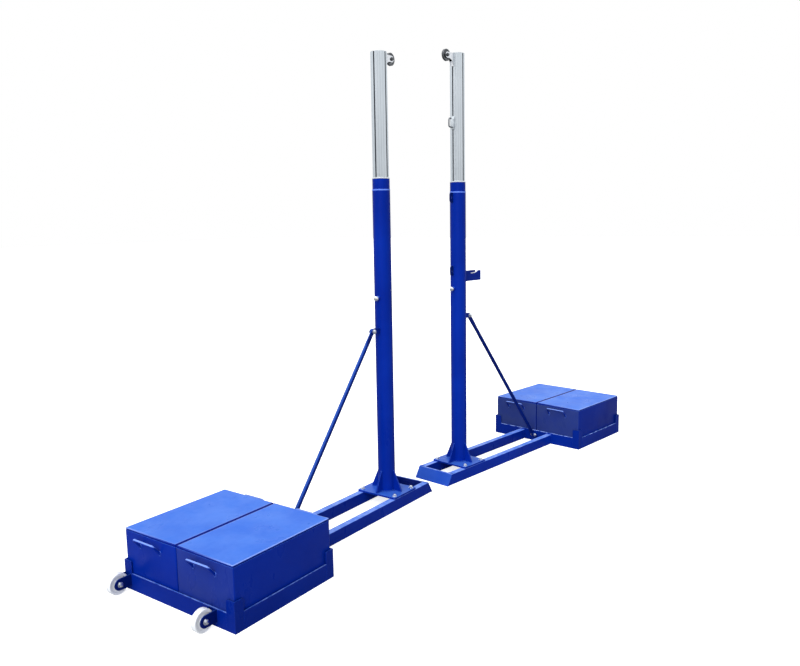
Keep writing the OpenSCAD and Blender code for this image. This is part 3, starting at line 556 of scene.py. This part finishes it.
def shift(shape, x=0.0, y=0.0, z=0.0):
    """The shape moved by x, y and z."""
    return shape[0] + np.array([x, y, z]), shape[1]


def flip(shape, axis):
    """The shape mirrored in one axis, with its faces turned so that they still point outwards."""
    signs = np.ones(3)
    signs[axis] = -1.0
    return shape[0] * signs, [face[::-1] for face in shape[1]]


def onto_post(points, post, raised):
    """Points of a post's own frame in the pair's frame; what rides on the mast is raised with it.
    """
    place = POSTS[post]
    a = math.radians(place["turn"])
    turned = np.array([[math.cos(a), math.sin(a), 0], [-math.sin(a), math.cos(a), 0], [0, 0, 1]])
    lift = place["raise"] if raised else 0.0
    return points @ turned + np.array([*place["at"], lift])


def piece(
    name, shapes, material, post, body,
    replaces=(), raised=False, smooth=32.0, marks=None,
):
    """One object from shapes in the post's own frame. It rides on the body, and stands for the
    nodes that it replaces. marks gives the values of its attributes from its points.
    """
    vertices, faces, base = [], [], 0
    for points, polygons in shapes:
        vertices.append(points)
        faces += [[base + i for i in polygon] for polygon in polygons]
        base += len(points)
    mesh = bpy.data.meshes.new(name)
    points = np.concatenate(vertices)
    mesh.from_pydata(onto_post(points, post, raised), [], faces)
    for mark, values in (marks(points) if marks else {}).items():
        attribute = mesh.attributes.new(mark, "FLOAT", "POINT")
        attribute.data.foreach_set("value", values.astype(np.float32))
    mesh.materials.append(material)
    mesh.shade_smooth()
    mesh.set_sharp_from_angle(angle=math.radians(smooth))
    obj = bpy.data.objects.new(name, mesh)
    bpy.context.scene.collection.objects.link(obj)
    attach(obj, f"{post}_{body}")
    if replaces:
        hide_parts(*[f"{post}_{node}" for node in replaces])
    return obj


# FASTENERS


def hexagon(apothem, turn):
    """Radius of a hexagon at these angles: the apothem over the cosine of the angle from the
    nearest flat's middle.
    """
    off = (turn % (math.pi / 3)) - math.pi / 6
    return apothem / np.cos(off)


def hex_piece(low, high, d, both=True):
    """Hexagon head or nut for a shank d, from low to high, whose corners are cut by a 30 degree
    cone at the top, and at the bottom too if both.
    """
    turn = np.linspace(0.0, 2 * math.pi, 48, endpoint=False)
    apothem = 0.75 * d
    flat = hexagon(apothem, turn)
    drops = np.array([0.0, 0.25, 0.5, 0.75, 1.0]) * 0.09 * d
    cone = [np.minimum(flat, 0.96 * apothem + drop / math.tan(math.radians(30))) for drop in drops]
    top = [(high - drop, r) for drop, r in zip(drops, cone)][::-1]
    bottom = [(low + drop, r) for drop, r in zip(drops, cone)] if both else [(low, flat)]
    heights, radii = zip(*(bottom + top))
    return stack(heights, radii)


def washer(low, high, d):
    """Flat washer with rounded edges, as a disc because the shank fills its hole."""
    r, e = 1.1 * d, 0.3 * (high - low)
    return stack([low, low + e, high - e, high], [r - e, r, r, r - e])


def threaded(low, high, d):
    """Threaded shank with a chamfered tip at the top: the radius goes in and out once for each
    pitch along and each turn round.
    """
    turn = np.linspace(0.0, 2 * math.pi, 48, endpoint=False)
    pitch = 0.14 * d
    heights = np.linspace(low, high, max(4, int((high - low) / pitch * 5)))
    radii = []
    for z in heights:
        wave = (z / pitch - turn / (2 * math.pi)) % 1.0
        thread = d / 2 - 0.085 * d * np.abs(2 * wave - 1)
        radii.append(np.minimum(thread, d / 2 - 0.12 * d + (high - z) * 0.9))
    return stack(heights, radii)


def cross_screw(d, grip):
    """Bolt along Z through a grip from -grip to +grip: head at the low end, nut and threaded tip
    at the high end, washers under both.
    """
    t, h, tip = 0.2 * d, 0.65 * d, 0.35 * d
    seat = grip + t
    head = flip(hex_piece(seat, seat + h, d, both=False), 2)
    shank = stack([-seat, seat], [d / 2, d / 2], 24)
    rest = [washer(-seat, -grip, d), washer(grip, seat, d), hex_piece(seat, seat + h, d)]
    return [head, shank, *rest, threaded(seat + 0.4 * h, seat + h + tip, d)]


def foot_screw(x, y):
    """Foot bolt: its head is inside the rail, and washer, nut and threaded tip stand on the foot
    plate.
    """
    d, under = 0.012, RAIL_H - 0.003
    seat = FOOT_TOP + 0.2 * d
    head = hex_piece(under - 0.65 * d, under, d)
    shank = stack([under, seat], [d / 2, d / 2], 24)
    top = [washer(FOOT_TOP, seat, d), hex_piece(seat, seat + 0.65 * d, d)]
    tip = threaded(seat + 0.4 * d, seat + d, d)
    return [shift(s, x, y) for s in (head, shank, *top, tip)]


# MAST


def mast_section():
    """Outline pair of the extruded mast, (outer, inner), point for point: arcs with three fine
    lines in each quarter, and between them four grooves whose lips are rounded and whose walls the
    inner outline follows.
    """
    groove, deep, wall, skin_t, lip = 0.004, 0.009, 0.0025, 0.003, 0.0008
    start = math.degrees(math.asin((groove + lip) / MAST_R))
    stop = 90.0 - start
    angles = np.linspace(start, stop, 49)
    outer_r = MAST_R + 0 * angles
    for line in (27.0, 45.0, 63.0):
        outer_r -= 0.0006 * np.exp(-(((angles - line) / 1.3) ** 2))
    t = np.radians(angles)
    outer_arc = np.column_stack([outer_r * np.cos(t), outer_r * np.sin(t)])
    inner_start = math.degrees(math.asin((groove + wall) / (MAST_R - skin_t)))
    s = np.radians(np.linspace(inner_start, 90.0 - inner_start, 49))
    inner_arc = (MAST_R - skin_t) * np.column_stack([np.cos(s), np.sin(s)])
    edge = MAST_R * math.cos(math.radians(start))
    floor_x, mouth_x = MAST_R - deep, edge - lip
    outer_groove = [(mouth_x, -groove), (floor_x, -groove), (floor_x, groove), (mouth_x, groove)]
    bottom = MAST_R - deep - wall
    side = groove + wall
    inner_edge = (MAST_R - skin_t) * math.cos(math.radians(inner_start)) - 0.0003
    inner_groove = [(inner_edge, -side), (bottom, -side), (bottom, side), (inner_edge, side)]
    outer, inner = [], []
    for k in range(4):
        c, q = math.cos(k * math.pi / 2), math.sin(k * math.pi / 2)
        turned = np.array([[c, q], [-q, c]])
        outer.append(np.concatenate([outer_groove, outer_arc]) @ turned)
        inner.append(np.concatenate([inner_groove, inner_arc]) @ turned)
    return np.concatenate(outer), np.concatenate(inner)


def extruded_mast():
    """The mast: both outlines carried up from its lower end to its top, with a small inset at each
    end where the saw cut is broken.
    """
    outer, inner = mast_section()
    low, high, nick = MAST_TOP - MAST_LEN, MAST_TOP, 0.0006
    small = outer * (1 - nick / MAST_R)
    levels = [(small, low), (outer, low + nick)]
    levels += [(outer, z) for z in np.linspace(low, high, 14)[1:-1]]
    levels += [(outer, high - nick), (small, high), (inner, high), (inner, low)]
    rings = [np.column_stack([outline, np.full(len(outline), z)]) for outline, z in levels]
    return skin(np.stack(rings), "loop")


# PIECES OF ONE POST, each as shapes in the post's own frame


def inside_out(shape):
    """The shape with its faces turned, for the inner wall of a hollow piece."""
    return shape[0], [face[::-1] for face in shape[1]]


def lean(shape, angle):
    """The shape turned about Y, so that its Z leans towards +X by that angle in radians."""
    c, s = math.cos(angle), math.sin(angle)
    return shape[0] @ np.array([[c, 0, -s], [0, 1, 0], [s, 0, c]]), shape[1]


def bar_handle():
    """Handle bent from round bar on a case's far end: the origin is the middle of the case's top
    edge there, and both legs fall back to the end wall, where they are welded on.
    """
    bar_r, half, out, drop, fall, bend = 0.006, 0.068, 0.036, 0.022, 0.044, 0.014
    slope = math.hypot(out, fall)
    root = 0.003
    foot = (root * out / slope, -drop - fall - root * fall / slope)
    corners = [(foot[0], -half, foot[1]), (-out, -half, -drop)]
    corners += [(-out, half, -drop), (foot[0], half, foot[1])]
    path = refine(soften(corners, bend, 8, closed=False), 0.012)
    shapes = [sweep(path, bar_r, (fall / slope, 0.0, out / slope), 24)]
    t = np.linspace(0.0, 2 * math.pi, 49)
    for side in (-1, 1):
        ring_y = side * half + (bar_r + 0.0008) * np.cos(t)
        ring_z = -drop - fall + (bar_r * slope / out + 0.0008) * np.sin(t)
        weld = np.column_stack([np.full(len(t), -0.0006), ring_y, ring_z])
        shapes.append(bead(weld, 0.0024, (1, 0, 0), closed=True))
    return shapes


def weight_case(side):
    """Welded sheet case of a weight block: rounded edges, a lid whose seam runs round under the
    top edge, an inner wall, and a handle on each end.
    """
    length, width, high, wall = CASE_LEN, CASE_WIDE, CASE_H, 0.003
    shaded_seam = [(0.0, high - 0.0106), (0.0010, high - 0.0100), (0.0030, high - 0.0096)]
    shaded_seam += [(0.0030, high - 0.0054), (0.0010, high - 0.0050), (0.0, high - 0.0046)]
    foot = [(0.0026, 0.0), (0.0008, 0.0008), (0.0, 0.0026)]
    turn = np.linspace(0.0, math.pi / 2, 5)
    edge = [(0.004 - 0.004 * math.cos(a), high - 0.004 + 0.004 * math.sin(a)) for a in turn]
    edge += [(inset, high) for inset in (0.0065, 0.0095, 0.014)]
    outer = block(length, width, 0.006, [*foot, *shaded_seam, *edge])
    hollow = [(0.0005, wall), (0.0005, high - wall)]
    inner = block(length - 2 * wall, width - 2 * wall, 0.0045, hollow)
    shapes = [outer, inside_out(inner)]
    for shape in bar_handle():
        at_far = shift(shape, -length / 2, 0.0, high)
        shapes += [at_far, flip(at_far, 0)]
    x, y = -(BLOCK_NEAR + length / 2), side * CASE_Y
    return [shift(s, x, y, TRAY_FLOOR) for s in shapes]


def case_marks(points):
    """Marks of a case: rub_and_glint, a painted highlight with some abrasion, on the lid's rounded
    edge, on the top beside the gap between the blocks and on the handles; and shaded_seam, painted
    shade, in the groove under the lid and along the gap between the blocks.
    """
    side = (points[:, 1] > 0.0) * 2.0 - 1.0
    inset_x = CASE_LEN / 2 - np.abs(points[:, 0] + BLOCK_NEAR + CASE_LEN / 2)
    inset_y = CASE_WIDE / 2 - np.abs(points[:, 1] - CASE_Y * side)
    inset = np.minimum(inset_x, inset_y)
    below = TRAY_FLOOR + CASE_H - points[:, 2]
    handle = inset_x < -0.0002
    bar = inset_x < -0.0290
    # Painted shade along the gap between the blocks.
    inner = (np.abs(points[:, 1]) < 0.0088) & (below < 0.0102)
    lid = (below < 0.0042) & (inset < 0.0050) & ~inner
    beside = (below < 0.0002) & (np.abs(points[:, 1]) < 0.0120) & ~inner
    groove = (below > 0.0048) & (below < 0.0102) & ~handle & (inset < 0.0032)
    # Painted highlight, partly abrasion: handles, the lid's rounded edge and the top beside the
    # gap.
    rubbed_and_lit = np.where(handle, 0.25 + 0.45 * bar, np.maximum(0.85 * lid, 0.45 * beside))
    return {"rub_and_glint": rubbed_and_lit, "shaded_seam": (groove | inner) * 1.0}


def mast_marks(points):
    """Marks of the mast: painted shade inside its grooves, and fainter in its fine lines."""
    inner = np.min(np.abs(points[:, :2]), axis=1) < 0.0041
    radius = np.hypot(points[:, 0], points[:, 1])
    line = (radius < MAST_R - 0.0002) & (radius > MAST_R - 0.00061)
    return {"shaded_seam": np.where(inner & (radius < 0.0446) & (radius > 0.0350), 1.0, 0.6 * line)}


def transport_wheel(y):
    """Turned nylon wheel: hub and stepped rim with softened edges, and a crowned tread."""
    bore, hub, rim, half = 0.00605, 0.020, 0.04995, 0.016
    face = [(bore, -half), (0.017, -half), (hub, -0.013), (0.0205, -0.0088), (0.0375, -0.0088)]
    face += [(0.038, -0.013), (0.0435, -0.0132), (0.0440, -0.0146), (0.0470, -0.0146)]
    face += [(0.0498, -0.0116)]
    tread = [(rim, -0.004), (rim, 0.004)]
    profile = face + tread + [(r, -z) for r, z in face[::-1]]
    wheel = along_y(lathe(soften(profile, 0.0014, 3), 96))
    return [shift(wheel, AXLE_X, y, AXLE_Z)]


def brace_bar():
    """Brace: a round tube that is pressed flat at both ends. Its section is a superellipse,
    |x/a|^n + |y/b|^n = 1, whose a, b and n change along it.
    """
    round_r, flat_a, flat_b, length = 0.012, 0.015, 0.004, 1.24876
    phi = np.linspace(0.0, 2 * math.pi, 40, endpoint=False)
    nose = -flat_a * np.cos(np.linspace(0.06, math.pi / 2, 9))
    ends = np.concatenate([nose, [0.020, 0.040, 0.052], np.linspace(0.055, 0.098, 18)])
    along = np.concatenate([ends, np.linspace(0.12, length - 0.12, 16), (length - ends)[::-1]])
    rings = []
    for s in along:
        depth = min(s, length - s)
        k = np.clip((depth - 0.052) / 0.046, 0.0, 1.0)
        k = k * k * (3 - 2 * k)
        a = flat_a + (round_r - flat_a) * k
        b = flat_b + (round_r - flat_b) * k
        n = 7.0 + (2.0 - 7.0) * k ** 0.5
        if depth < 0.0:
            a = math.sqrt(flat_a**2 - depth**2)
        x = a * np.sign(np.cos(phi)) * np.abs(np.cos(phi)) ** (2 / n)
        y = b * np.sign(np.sin(phi)) * np.abs(np.sin(phi)) ** (2 / n)
        rings.append(np.column_stack([x, y, np.full(len(phi), s)]))
    upright = skin(np.stack(rings))
    rise = math.atan2(BRACE_TOP[0] - BRACE_FOOT[0], BRACE_TOP[1] - BRACE_FOOT[1])
    return [shift(lean(upright, rise), BRACE_FOOT[0], 0.0, BRACE_FOOT[1])]


def clamp_knob():
    """Clamp screw towards +X: shank, thin flange, a waist, and a domed knob."""
    neck, r, high = TUBE_R + 0.0123, 0.014, 0.016
    rise = np.linspace(0.0, math.radians(86), 14)
    low = [(0.0, r - 0.001), (0.0008, r), (0.0026, r)]
    low += [(0.0034, r - 0.0016), (0.0048, r - 0.0016), (0.0056, r)]
    dome = [(0.0064 + (high - 0.0064) * math.sin(u), r * math.cos(u)) for u in rise]
    heights, radii = zip(*(low + dome))
    knob = stack([neck + z for z in heights], radii)
    shank = stack([MAST_R - 0.0087, neck + 0.001], [0.0035, 0.0035], 24)
    return [shift(along_x(s), z=CLAMP_Z) for s in (knob, shank)]


def pulley_wheel():
    """Rope pulley turning about Y: round rope groove, thin web and hub."""
    bore, hub, rim, half, web = 0.00505, 0.010, 0.035, 0.007, 0.005
    t = np.radians(np.linspace(-80.0, 80.0, 13))
    groove = [(rim - 0.004 * math.cos(a), 0.004 * math.sin(a)) for a in t]
    face = [(bore, -half), (hub, -half), (hub + 0.0004, -web), (0.0256, -web), (0.026, -half)]
    face += [(rim - 0.0012, -half), (rim, -half + 0.0012)]
    profile = face + groove + [(r, -z) for r, z in face[::-1]]
    return [shift(along_y(lathe(soften(profile, 0.0005, 2), 72)), PULLEY_X, 0.0, PULLEY_Z)]


def rope_hook():
    """Hook of round bar on a plate: it reaches out, turns up and comes back, and its radius swells
    into a ball at the tip. A tongue behind the plate sits in the mast's groove.
    """
    bar_r, root, reach, half, z = 0.0045, MAST_R + 0.004, MAST_R + 0.038, 0.026, MAST_TOP - 0.414
    tip, ball = root + 0.018, 0.0063
    corners = [(root - 0.001, 0.0, -half), (reach, 0.0, -half)]
    corners += [(reach, 0.0, half), (tip - 0.96 * ball, 0.0, half)]
    path = refine(soften(corners, 0.0135, 10, closed=False), 0.0012)
    from_tip = path[:, 0] - tip
    near = (path[:, 2] > half - 0.0001) & (np.abs(from_tip) < ball)
    swell = np.sqrt(np.maximum(ball**2 - from_tip**2, 0.0)) / bar_r
    share = np.where(near & (from_tip < 0.0), swell, np.where(near, np.maximum(swell, 1.0), 1.0))
    bar = sweep(path, bar_r, (0, 1, 0), 24, share=share)
    plate_edge = [(0.001, 0.0), (0.0, 0.001), (0.0, 0.003), (0.0003, 0.0037), (0.001, 0.004)]
    plate = shift(along_x(block(0.027, 0.079, 0.005, plate_edge)), MAST_R)
    tongue = block(0.0074, 0.079, 0.001, [(0.0, 0.0), (0.0, 0.0092)])
    tongue = shift(along_x(tongue), MAST_R - 0.0087)
    return [shift(s, z=z) for s in (bar, plate, tongue)]


def horn_cleat():
    """Horn cleat on the bracket's floor: a curved bar, thinner towards its rounded tips, on a post
    whose foot flares out.
    """
    x, seat = -TUBE_R - 0.0775, BRACKET_LOW + 0.004
    bar_r, half, rise = 0.006, 0.0558, 0.006
    bar_z = seat + 0.62 * (BRACKET_HIGH - BRACKET_LOW)
    tip = -np.cos(np.linspace(0.0, math.pi / 2, 9)) * 0.1 - 0.9
    s = np.concatenate([tip, np.linspace(-0.88, 0.0, 16)])
    s = np.concatenate([s, -s[::-1][1:]])
    end = np.sqrt(np.clip(1.0 - ((np.abs(s) - 0.9) / 0.1).clip(0.0) ** 2, 0.015, 1.0))
    swell = 0.42 * np.exp(-(((np.abs(s) - 0.9) / 0.09) ** 2))
    share = (1.0 - 0.28 * np.abs(s) ** 0.8 + swell) * end
    path = np.column_stack([x + (half + 0.0074) * s, 0 * s, bar_z + rise * s**2])
    bar = sweep(path, bar_r, (0, 1, 0), 24, share=share)
    drop = np.linspace(0.0, 1.0, 9)
    heights = [seat, seat + 0.001, seat + 0.003, *(seat + 0.004 + 0.010 * drop), bar_z]
    radii = [0.0112, 0.012, 0.012, *(0.0078 + 0.004 * (1 - drop) ** 2.2), 0.0078]
    return [bar, shift(stack(heights, radii, 36), x)]


def edge_ring(low, high, r_out, r_in):
    """Ring about Z with a half-round top outside."""
    profile = [(r_in, low), (r_out, low), (r_out, high), (r_in, high)]
    return lathe(soften(profile, [0.0003, 0.0006, 0.0022, 0.0006], 5), 96)


def on_tube(y, z, out=0.0003):
    """Points of the tube's surface on the -X side at these y and z."""
    y, z = np.broadcast_arrays(np.asarray(y, float), np.asarray(z, float))
    return np.column_stack([-np.sqrt(TUBE_R**2 - y**2) - out, y, z])


def base_welds(post):
    """Weld beads of the base: the tube's foot, gussets, toe, rails, fork ears, uprights and brace
    lugs, and the clamp boss.
    """
    along, across, upright = (1, 0, 0), (0, 1, 0), (0, 0, 1)
    on_plate, on_rail = FOOT_TOP + 0.0006, RAIL_H + 0.0004
    tray_x, fork_x = 0.0004 - TRAY_NEAR, -0.0004 - TRAY_FAR
    beads = [bead(circle_path(TUBE_R + 0.001, on_plate), 0.0032, upright, closed=True)]
    for k in range(4):
        c, s = math.cos(k * math.pi / 2), math.sin(k * math.pi / 2)
        turned = np.array([[c, s, 0], [-s, c, 0], [0, 0, 1]])
        for y in (-0.0046, 0.0046):
            flat = np.array([(0.054, y, on_plate), (GUSSET_TIP, y, on_plate)]) @ turned
            wall = np.array([(0.0502, y, FOOT_TOP + 0.006), (0.0502, y, GUSSET_TOP)]) @ turned
            beads += [bead(flat, 0.0024, upright), bead(wall, 0.0022, (1, 1, 0))]
    for rail in (-RAIL_Y, RAIL_Y):
        for y in (rail - 0.0205, rail + 0.0205):
            beads.append(bead([(0.2725, y, 0.003), (0.2341, y, 0.067)], 0.0024, across))
            beads.append(bead([(tray_x, y, 0.003), (tray_x, y, 0.068)], 0.0024, across))
        for x in (0.2320, tray_x):
            over = [(x, rail - 0.018, on_rail), (x, rail + 0.018, on_rail)]
            beads.append(bead(over, 0.0024, upright))
    for wheel in WHEEL_Y[post].values():
        for y in (wheel - 0.0236, wheel - 0.0175, wheel + 0.0175, wheel + 0.0236):
            beads.append(bead([(fork_x, y, 0.028), (fork_x, y, 0.076)], 0.0020, along))
    for y in (-TRAY_HALF, TRAY_HALF):
        for x in (-TRAY_FAR + UPRIGHT_LEG, -TRAY_NEAR - UPRIGHT_LEG):
            beads.append(bead([(x, y, 0.003), (x, y, RIM_H - 0.001)], 0.0011, across))
    for y in (UPRIGHT_LEG - TRAY_HALF, TRAY_HALF - UPRIGHT_LEG):
        for x in (-TRAY_FAR, -TRAY_NEAR):
            beads.append(bead([(x, y, 0.003), (x, y, RIM_H - 0.001)], 0.0011, along))
    for y in (-0.0108, 0.0108):
        z = np.array([BRACE_TOP[1] - 0.014, BRACE_TOP[1] + 0.014])
        beads.append(bead(on_tube([y, y], z), 0.0022, along))
        beads.append(bead([(tray_x, y, 0.038), (tray_x, y, 0.066)], 0.0022, across))
    t = np.linspace(0.0, 2 * math.pi, 61)
    round_boss = on_tube(0.0136 * np.cos(t), CLAMP_Z + 0.0136 * np.sin(t))
    boss = bead(round_boss, 0.0022, along, closed=True)
    return [*beads, flip(boss, 0) if POSTS[post]["clamp"] > 0 else boss]


def tension_welds():
    """Weld beads of the net eyes and the cleat bracket."""
    beads = []
    for z in NET_EYES_Z:
        for y in (-0.0036, 0.0036):
            eye = [(0.0501, y, z - 0.029), (0.0501, y, z + 0.029)]
            beads.append(bead(eye, 0.0022, (1, 0, 0)))
    low, high, half = BRACKET_LOW, BRACKET_HIGH, 0.024
    for y in (-half - 0.0006, half + 0.0006):
        beads.append(bead(on_tube([y, y], [low, high]), 0.0024, (1, 0, 0)))
    y = np.linspace(-half, half, 15)
    beads.append(bead(on_tube(y, np.full(15, low - 0.0006)), 0.0024, (0, 0, 1)))
    return beads


def build_post(post):
    """Every piece of one post that replaces or adds to the CAD nodes."""
    tension = post == "tension"
    mast = [extruded_mast()]
    piece(
        f"{post}_drawn_mast", mast, ALUMINIUM, post, "mast",
        ["mast_tube"], True, 24.0, mast_marks,
    )
    for name, side in (("left", 1), ("right", -1)):
        # The tension post's cases carry painted shade and a painted grey reflection, the plain
        # post's right case a painted grey reflection.
        case, coat = weight_case(side), SHADED_REFLECTING if tension else REFLECTING if side < 0 else CASED
        piece(
            f"{post}_{name}_case", case, coat, post, f"block_{name}",
            [f"{name}_weight_case"], marks=case_marks,
        )
        wheel = transport_wheel(WHEEL_Y[post][name])
        piece(
            f"{post}_{name}_turned_wheel", wheel, NYLON, post, f"wheel_{name}",
            [f"{name}_wheel"],
        )
    axles = []
    for y in WHEEL_Y[post].values():
        screw = [along_y(s) for s in cross_screw(0.012, 0.023)]
        axles += [shift(flip(s, 1) if tension else s, AXLE_X, y, AXLE_Z) for s in screw]
    piece(f"{post}_axle_screws", axles, ZINC, post, "frame", ["wheel_bolts"])
    feet = [s for x in (-0.082, 0.082) for y in (-RAIL_Y, RAIL_Y) for s in foot_screw(x, y)]
    piece(f"{post}_foot_screws", feet, ZINC, post, "frame", ["foot_bolts"])
    pins = []
    for x, z in (BRACE_TOP, BRACE_FOOT):
        pins += [shift(along_y(s), x, 0.0, z) for s in cross_screw(0.012, 0.0103)]
    piece(f"{post}_brace_screws", pins, ZINC, post, "frame", ["brace_bolts"])
    piece(f"{post}_brace_bar", brace_bar(), BRACED, post, "frame", ["brace"], smooth=40.0)
    knob = [flip(s, 0) for s in clamp_knob()] if POSTS[post]["clamp"] < 0 else clamp_knob()
    piece(f"{post}_clamp_knob", knob, CHROME, post, "clamp", ["clamp_screw"], smooth=40.0)
    # Pulley and its pin in darkened steel: painted shade.
    pulley = pulley_wheel()
    piece(
        f"{post}_rope_pulley", pulley, SHADE_DARK_STEEL, post, "pulley",
        ["pulley_wheel"], True,
    )
    pin = [shift(along_y(s), PULLEY_X, 0.0, PULLEY_Z) for s in cross_screw(0.010, 0.012)]
    piece(f"{post}_pulley_screw", pin, SHADE_DARK_STEEL, post, "mast", ["pulley_pin"], True)
    piece(f"{post}_base_welds", base_welds(post), WELDED, post, "frame", smooth=80.0)
    # The tube's top lip: pale paint that stands in for its highlight, with some abrasion.
    low, high = TUBE_TOP - 0.0075, TUBE_TOP + 0.0004
    tube_lip = edge_ring(low, high, TUBE_R + 0.0003, COLLAR_R - 0.0005)
    piece(f"{post}_tube_lip", [tube_lip], RUBBED_AND_LIT, post, "frame")
    low, high = COLLAR_TOP - 0.0070, COLLAR_TOP + 0.0004
    collar_lip = edge_ring(low, high, COLLAR_R + 0.0002, MAST_R + 0.0005)
    piece(f"{post}_collar_lip", [collar_lip], BARE, post, "frame")
    if tension:
        bar, *plate = rope_hook()
        # The hook in darkened steel: a painted dark reflection.
        piece("tension_bent_hook", [bar], REFLECTION_DARK_STEEL, post, "mast", ["rope_hook"], True, 40.0)
        piece("tension_hook_plate", plate, ALUMINIUM, post, "mast", (), True, 40.0)
        cleat, welds = horn_cleat(), tension_welds()
        piece("tension_horn_cleat", cleat, CHROME, post, "frame", ["cleat"], smooth=50.0)
        piece("tension_fitting_welds", welds, WELDED, post, "frame", smooth=80.0)


for post in POSTS:
    build_post(post)

# STAGE: a pale floor, a white backdrop and soft light


def ray_share(tree, *rays):
    """1 for these kinds of ray, 0 for all others."""
    path = tree.nodes.new("ShaderNodeLightPath")
    total = path.outputs[rays[0]]
    for ray in rays[1:]:
        most = tree.nodes.new("ShaderNodeMath")
        most.operation = "MAXIMUM"
        tree.links.new(total, most.inputs[0])
        tree.links.new(path.outputs[ray], most.inputs[1])
        total = most.outputs[0]
    return total


def join(tree, share, first, second):
    """Shader between first and second."""
    made = tree.nodes.new("ShaderNodeMixShader")
    tree.links.new(share, made.inputs[0])
    tree.links.new(first, made.inputs[1])
    tree.links.new(second, made.inputs[2])
    return made.outputs[0]


def diffuse(tree, tone):
    """Matt grey of that tone."""
    made = tree.nodes.new("ShaderNodeBsdfDiffuse")
    made.inputs["Color"].default_value = rgb(tone, tone, tone)
    return made.outputs[0]


def floor_material():
    """Pale floor: white where it is seen, with its shadows, dark grey in reflections, and mid grey
    in the light that it throws back.
    """
    made = bpy.data.materials.new("studio_floor")
    made.use_nodes = True
    tree = made.node_tree
    tree.nodes.clear()
    glow = tree.nodes.new("ShaderNodeEmission")
    glow.inputs["Strength"].default_value = 0.76
    bright = tree.nodes.new("ShaderNodeAddShader")
    tree.links.new(diffuse(tree, 0.84), bright.inputs[0])
    tree.links.new(glow.outputs[0], bright.inputs[1])
    glossy = ray_share(tree, "Is Glossy Ray")
    mirrored = join(tree, glossy, diffuse(tree, 0.50), diffuse(tree, 0.34))
    seen = ray_share(tree, "Is Camera Ray", "Is Transmission Ray")
    out = tree.nodes.new("ShaderNodeOutputMaterial")
    tree.links.new(join(tree, seen, mirrored, bright.outputs[0]), out.inputs["Surface"])
    return made


def sky(level, horizon, zenith):
    """World: white where it is seen, a soft cool light of that level, and in reflections a sky
    that brightens from the horizon to a lamp overhead.
    """
    world = bpy.data.worlds.new("studio")
    world.use_nodes = True
    bpy.context.scene.world = world
    tree = world.node_tree
    tree.nodes.clear()

    def glow(colour, strength):
        made = tree.nodes.new("ShaderNodeBackground")
        made.inputs["Color"].default_value = colour
        made.inputs["Strength"].default_value = strength
        return made

    lit = glow(rgb(0.93, 0.965, 1.0), level)
    shiny = glow(rgb(0.95, 0.98, 1.0), 1.0)
    place = tree.nodes.new("ShaderNodeTexCoord")
    split = tree.nodes.new("ShaderNodeSeparateXYZ")
    tree.links.new(place.outputs["Generated"], split.inputs[0])
    climb = tree.nodes.new("ShaderNodeMapRange")
    climb.interpolation_type = "SMOOTHSTEP"
    climb.inputs["From Max"].default_value = 0.55
    climb.inputs["To Min"].default_value = horizon
    climb.inputs["To Max"].default_value = zenith
    tree.links.new(split.outputs["Z"], climb.inputs["Value"])
    tree.links.new(climb.outputs["Result"], shiny.inputs["Strength"])
    indirect = join(tree, ray_share(tree, "Is Glossy Ray"), lit.outputs[0], shiny.outputs[0])
    seen = ray_share(tree, "Is Camera Ray", "Is Transmission Ray")
    out = tree.nodes.new("ShaderNodeOutputWorld")
    white = glow(rgb(1.0, 1.0, 1.0), 1.0)
    tree.links.new(join(tree, seen, indirect, white.outputs[0]), out.inputs["Surface"])


def sun(name, strength, azimuth, height, spread, colour, mirrored=True):
    """Soft distant lamp: it stands at that azimuth (0 is +X, 90 is +Y) and height, in degrees, and
    may be left out of reflections.
    """
    data = bpy.data.lights.new(name, "SUN")
    data.energy, data.angle, data.color = strength, math.radians(spread), colour
    lamp = bpy.data.objects.new(name, data)
    a, h = math.radians(azimuth), math.radians(height)
    lamp.rotation_euler = (0.0, math.pi / 2 - h, a)
    lamp.visible_glossy = mirrored
    bpy.context.scene.collection.objects.link(lamp)


FLOOR_HALF = 60.0
corners = [(-FLOOR_HALF, -FLOOR_HALF, 0.0), (FLOOR_HALF, -FLOOR_HALF, 0.0)]
corners += [(FLOOR_HALF, FLOOR_HALF, 0.0), (-FLOOR_HALF, FLOOR_HALF, 0.0)]
floor_mesh = bpy.data.meshes.new("floor")
floor_mesh.from_pydata([(x, y, z - 0.0005) for x, y, z in corners], [], [(0, 1, 2, 3)])
floor_mesh.materials.append(floor_material())
floor = bpy.data.objects.new("floor", floor_mesh)
bpy.context.scene.collection.objects.link(floor)

sky(0.30, 0.95, 1.25)
sun("overhead_light", 1.8, 140.0, 74.0, 60.0, (1.0, 1.0, 1.0))
sun("front_fill", 2.7, 206.0, 26.0, 55.0, (0.95, 0.98, 1.0), mirrored=False)

bpy.context.scene.view_settings.view_transform = "Standard"
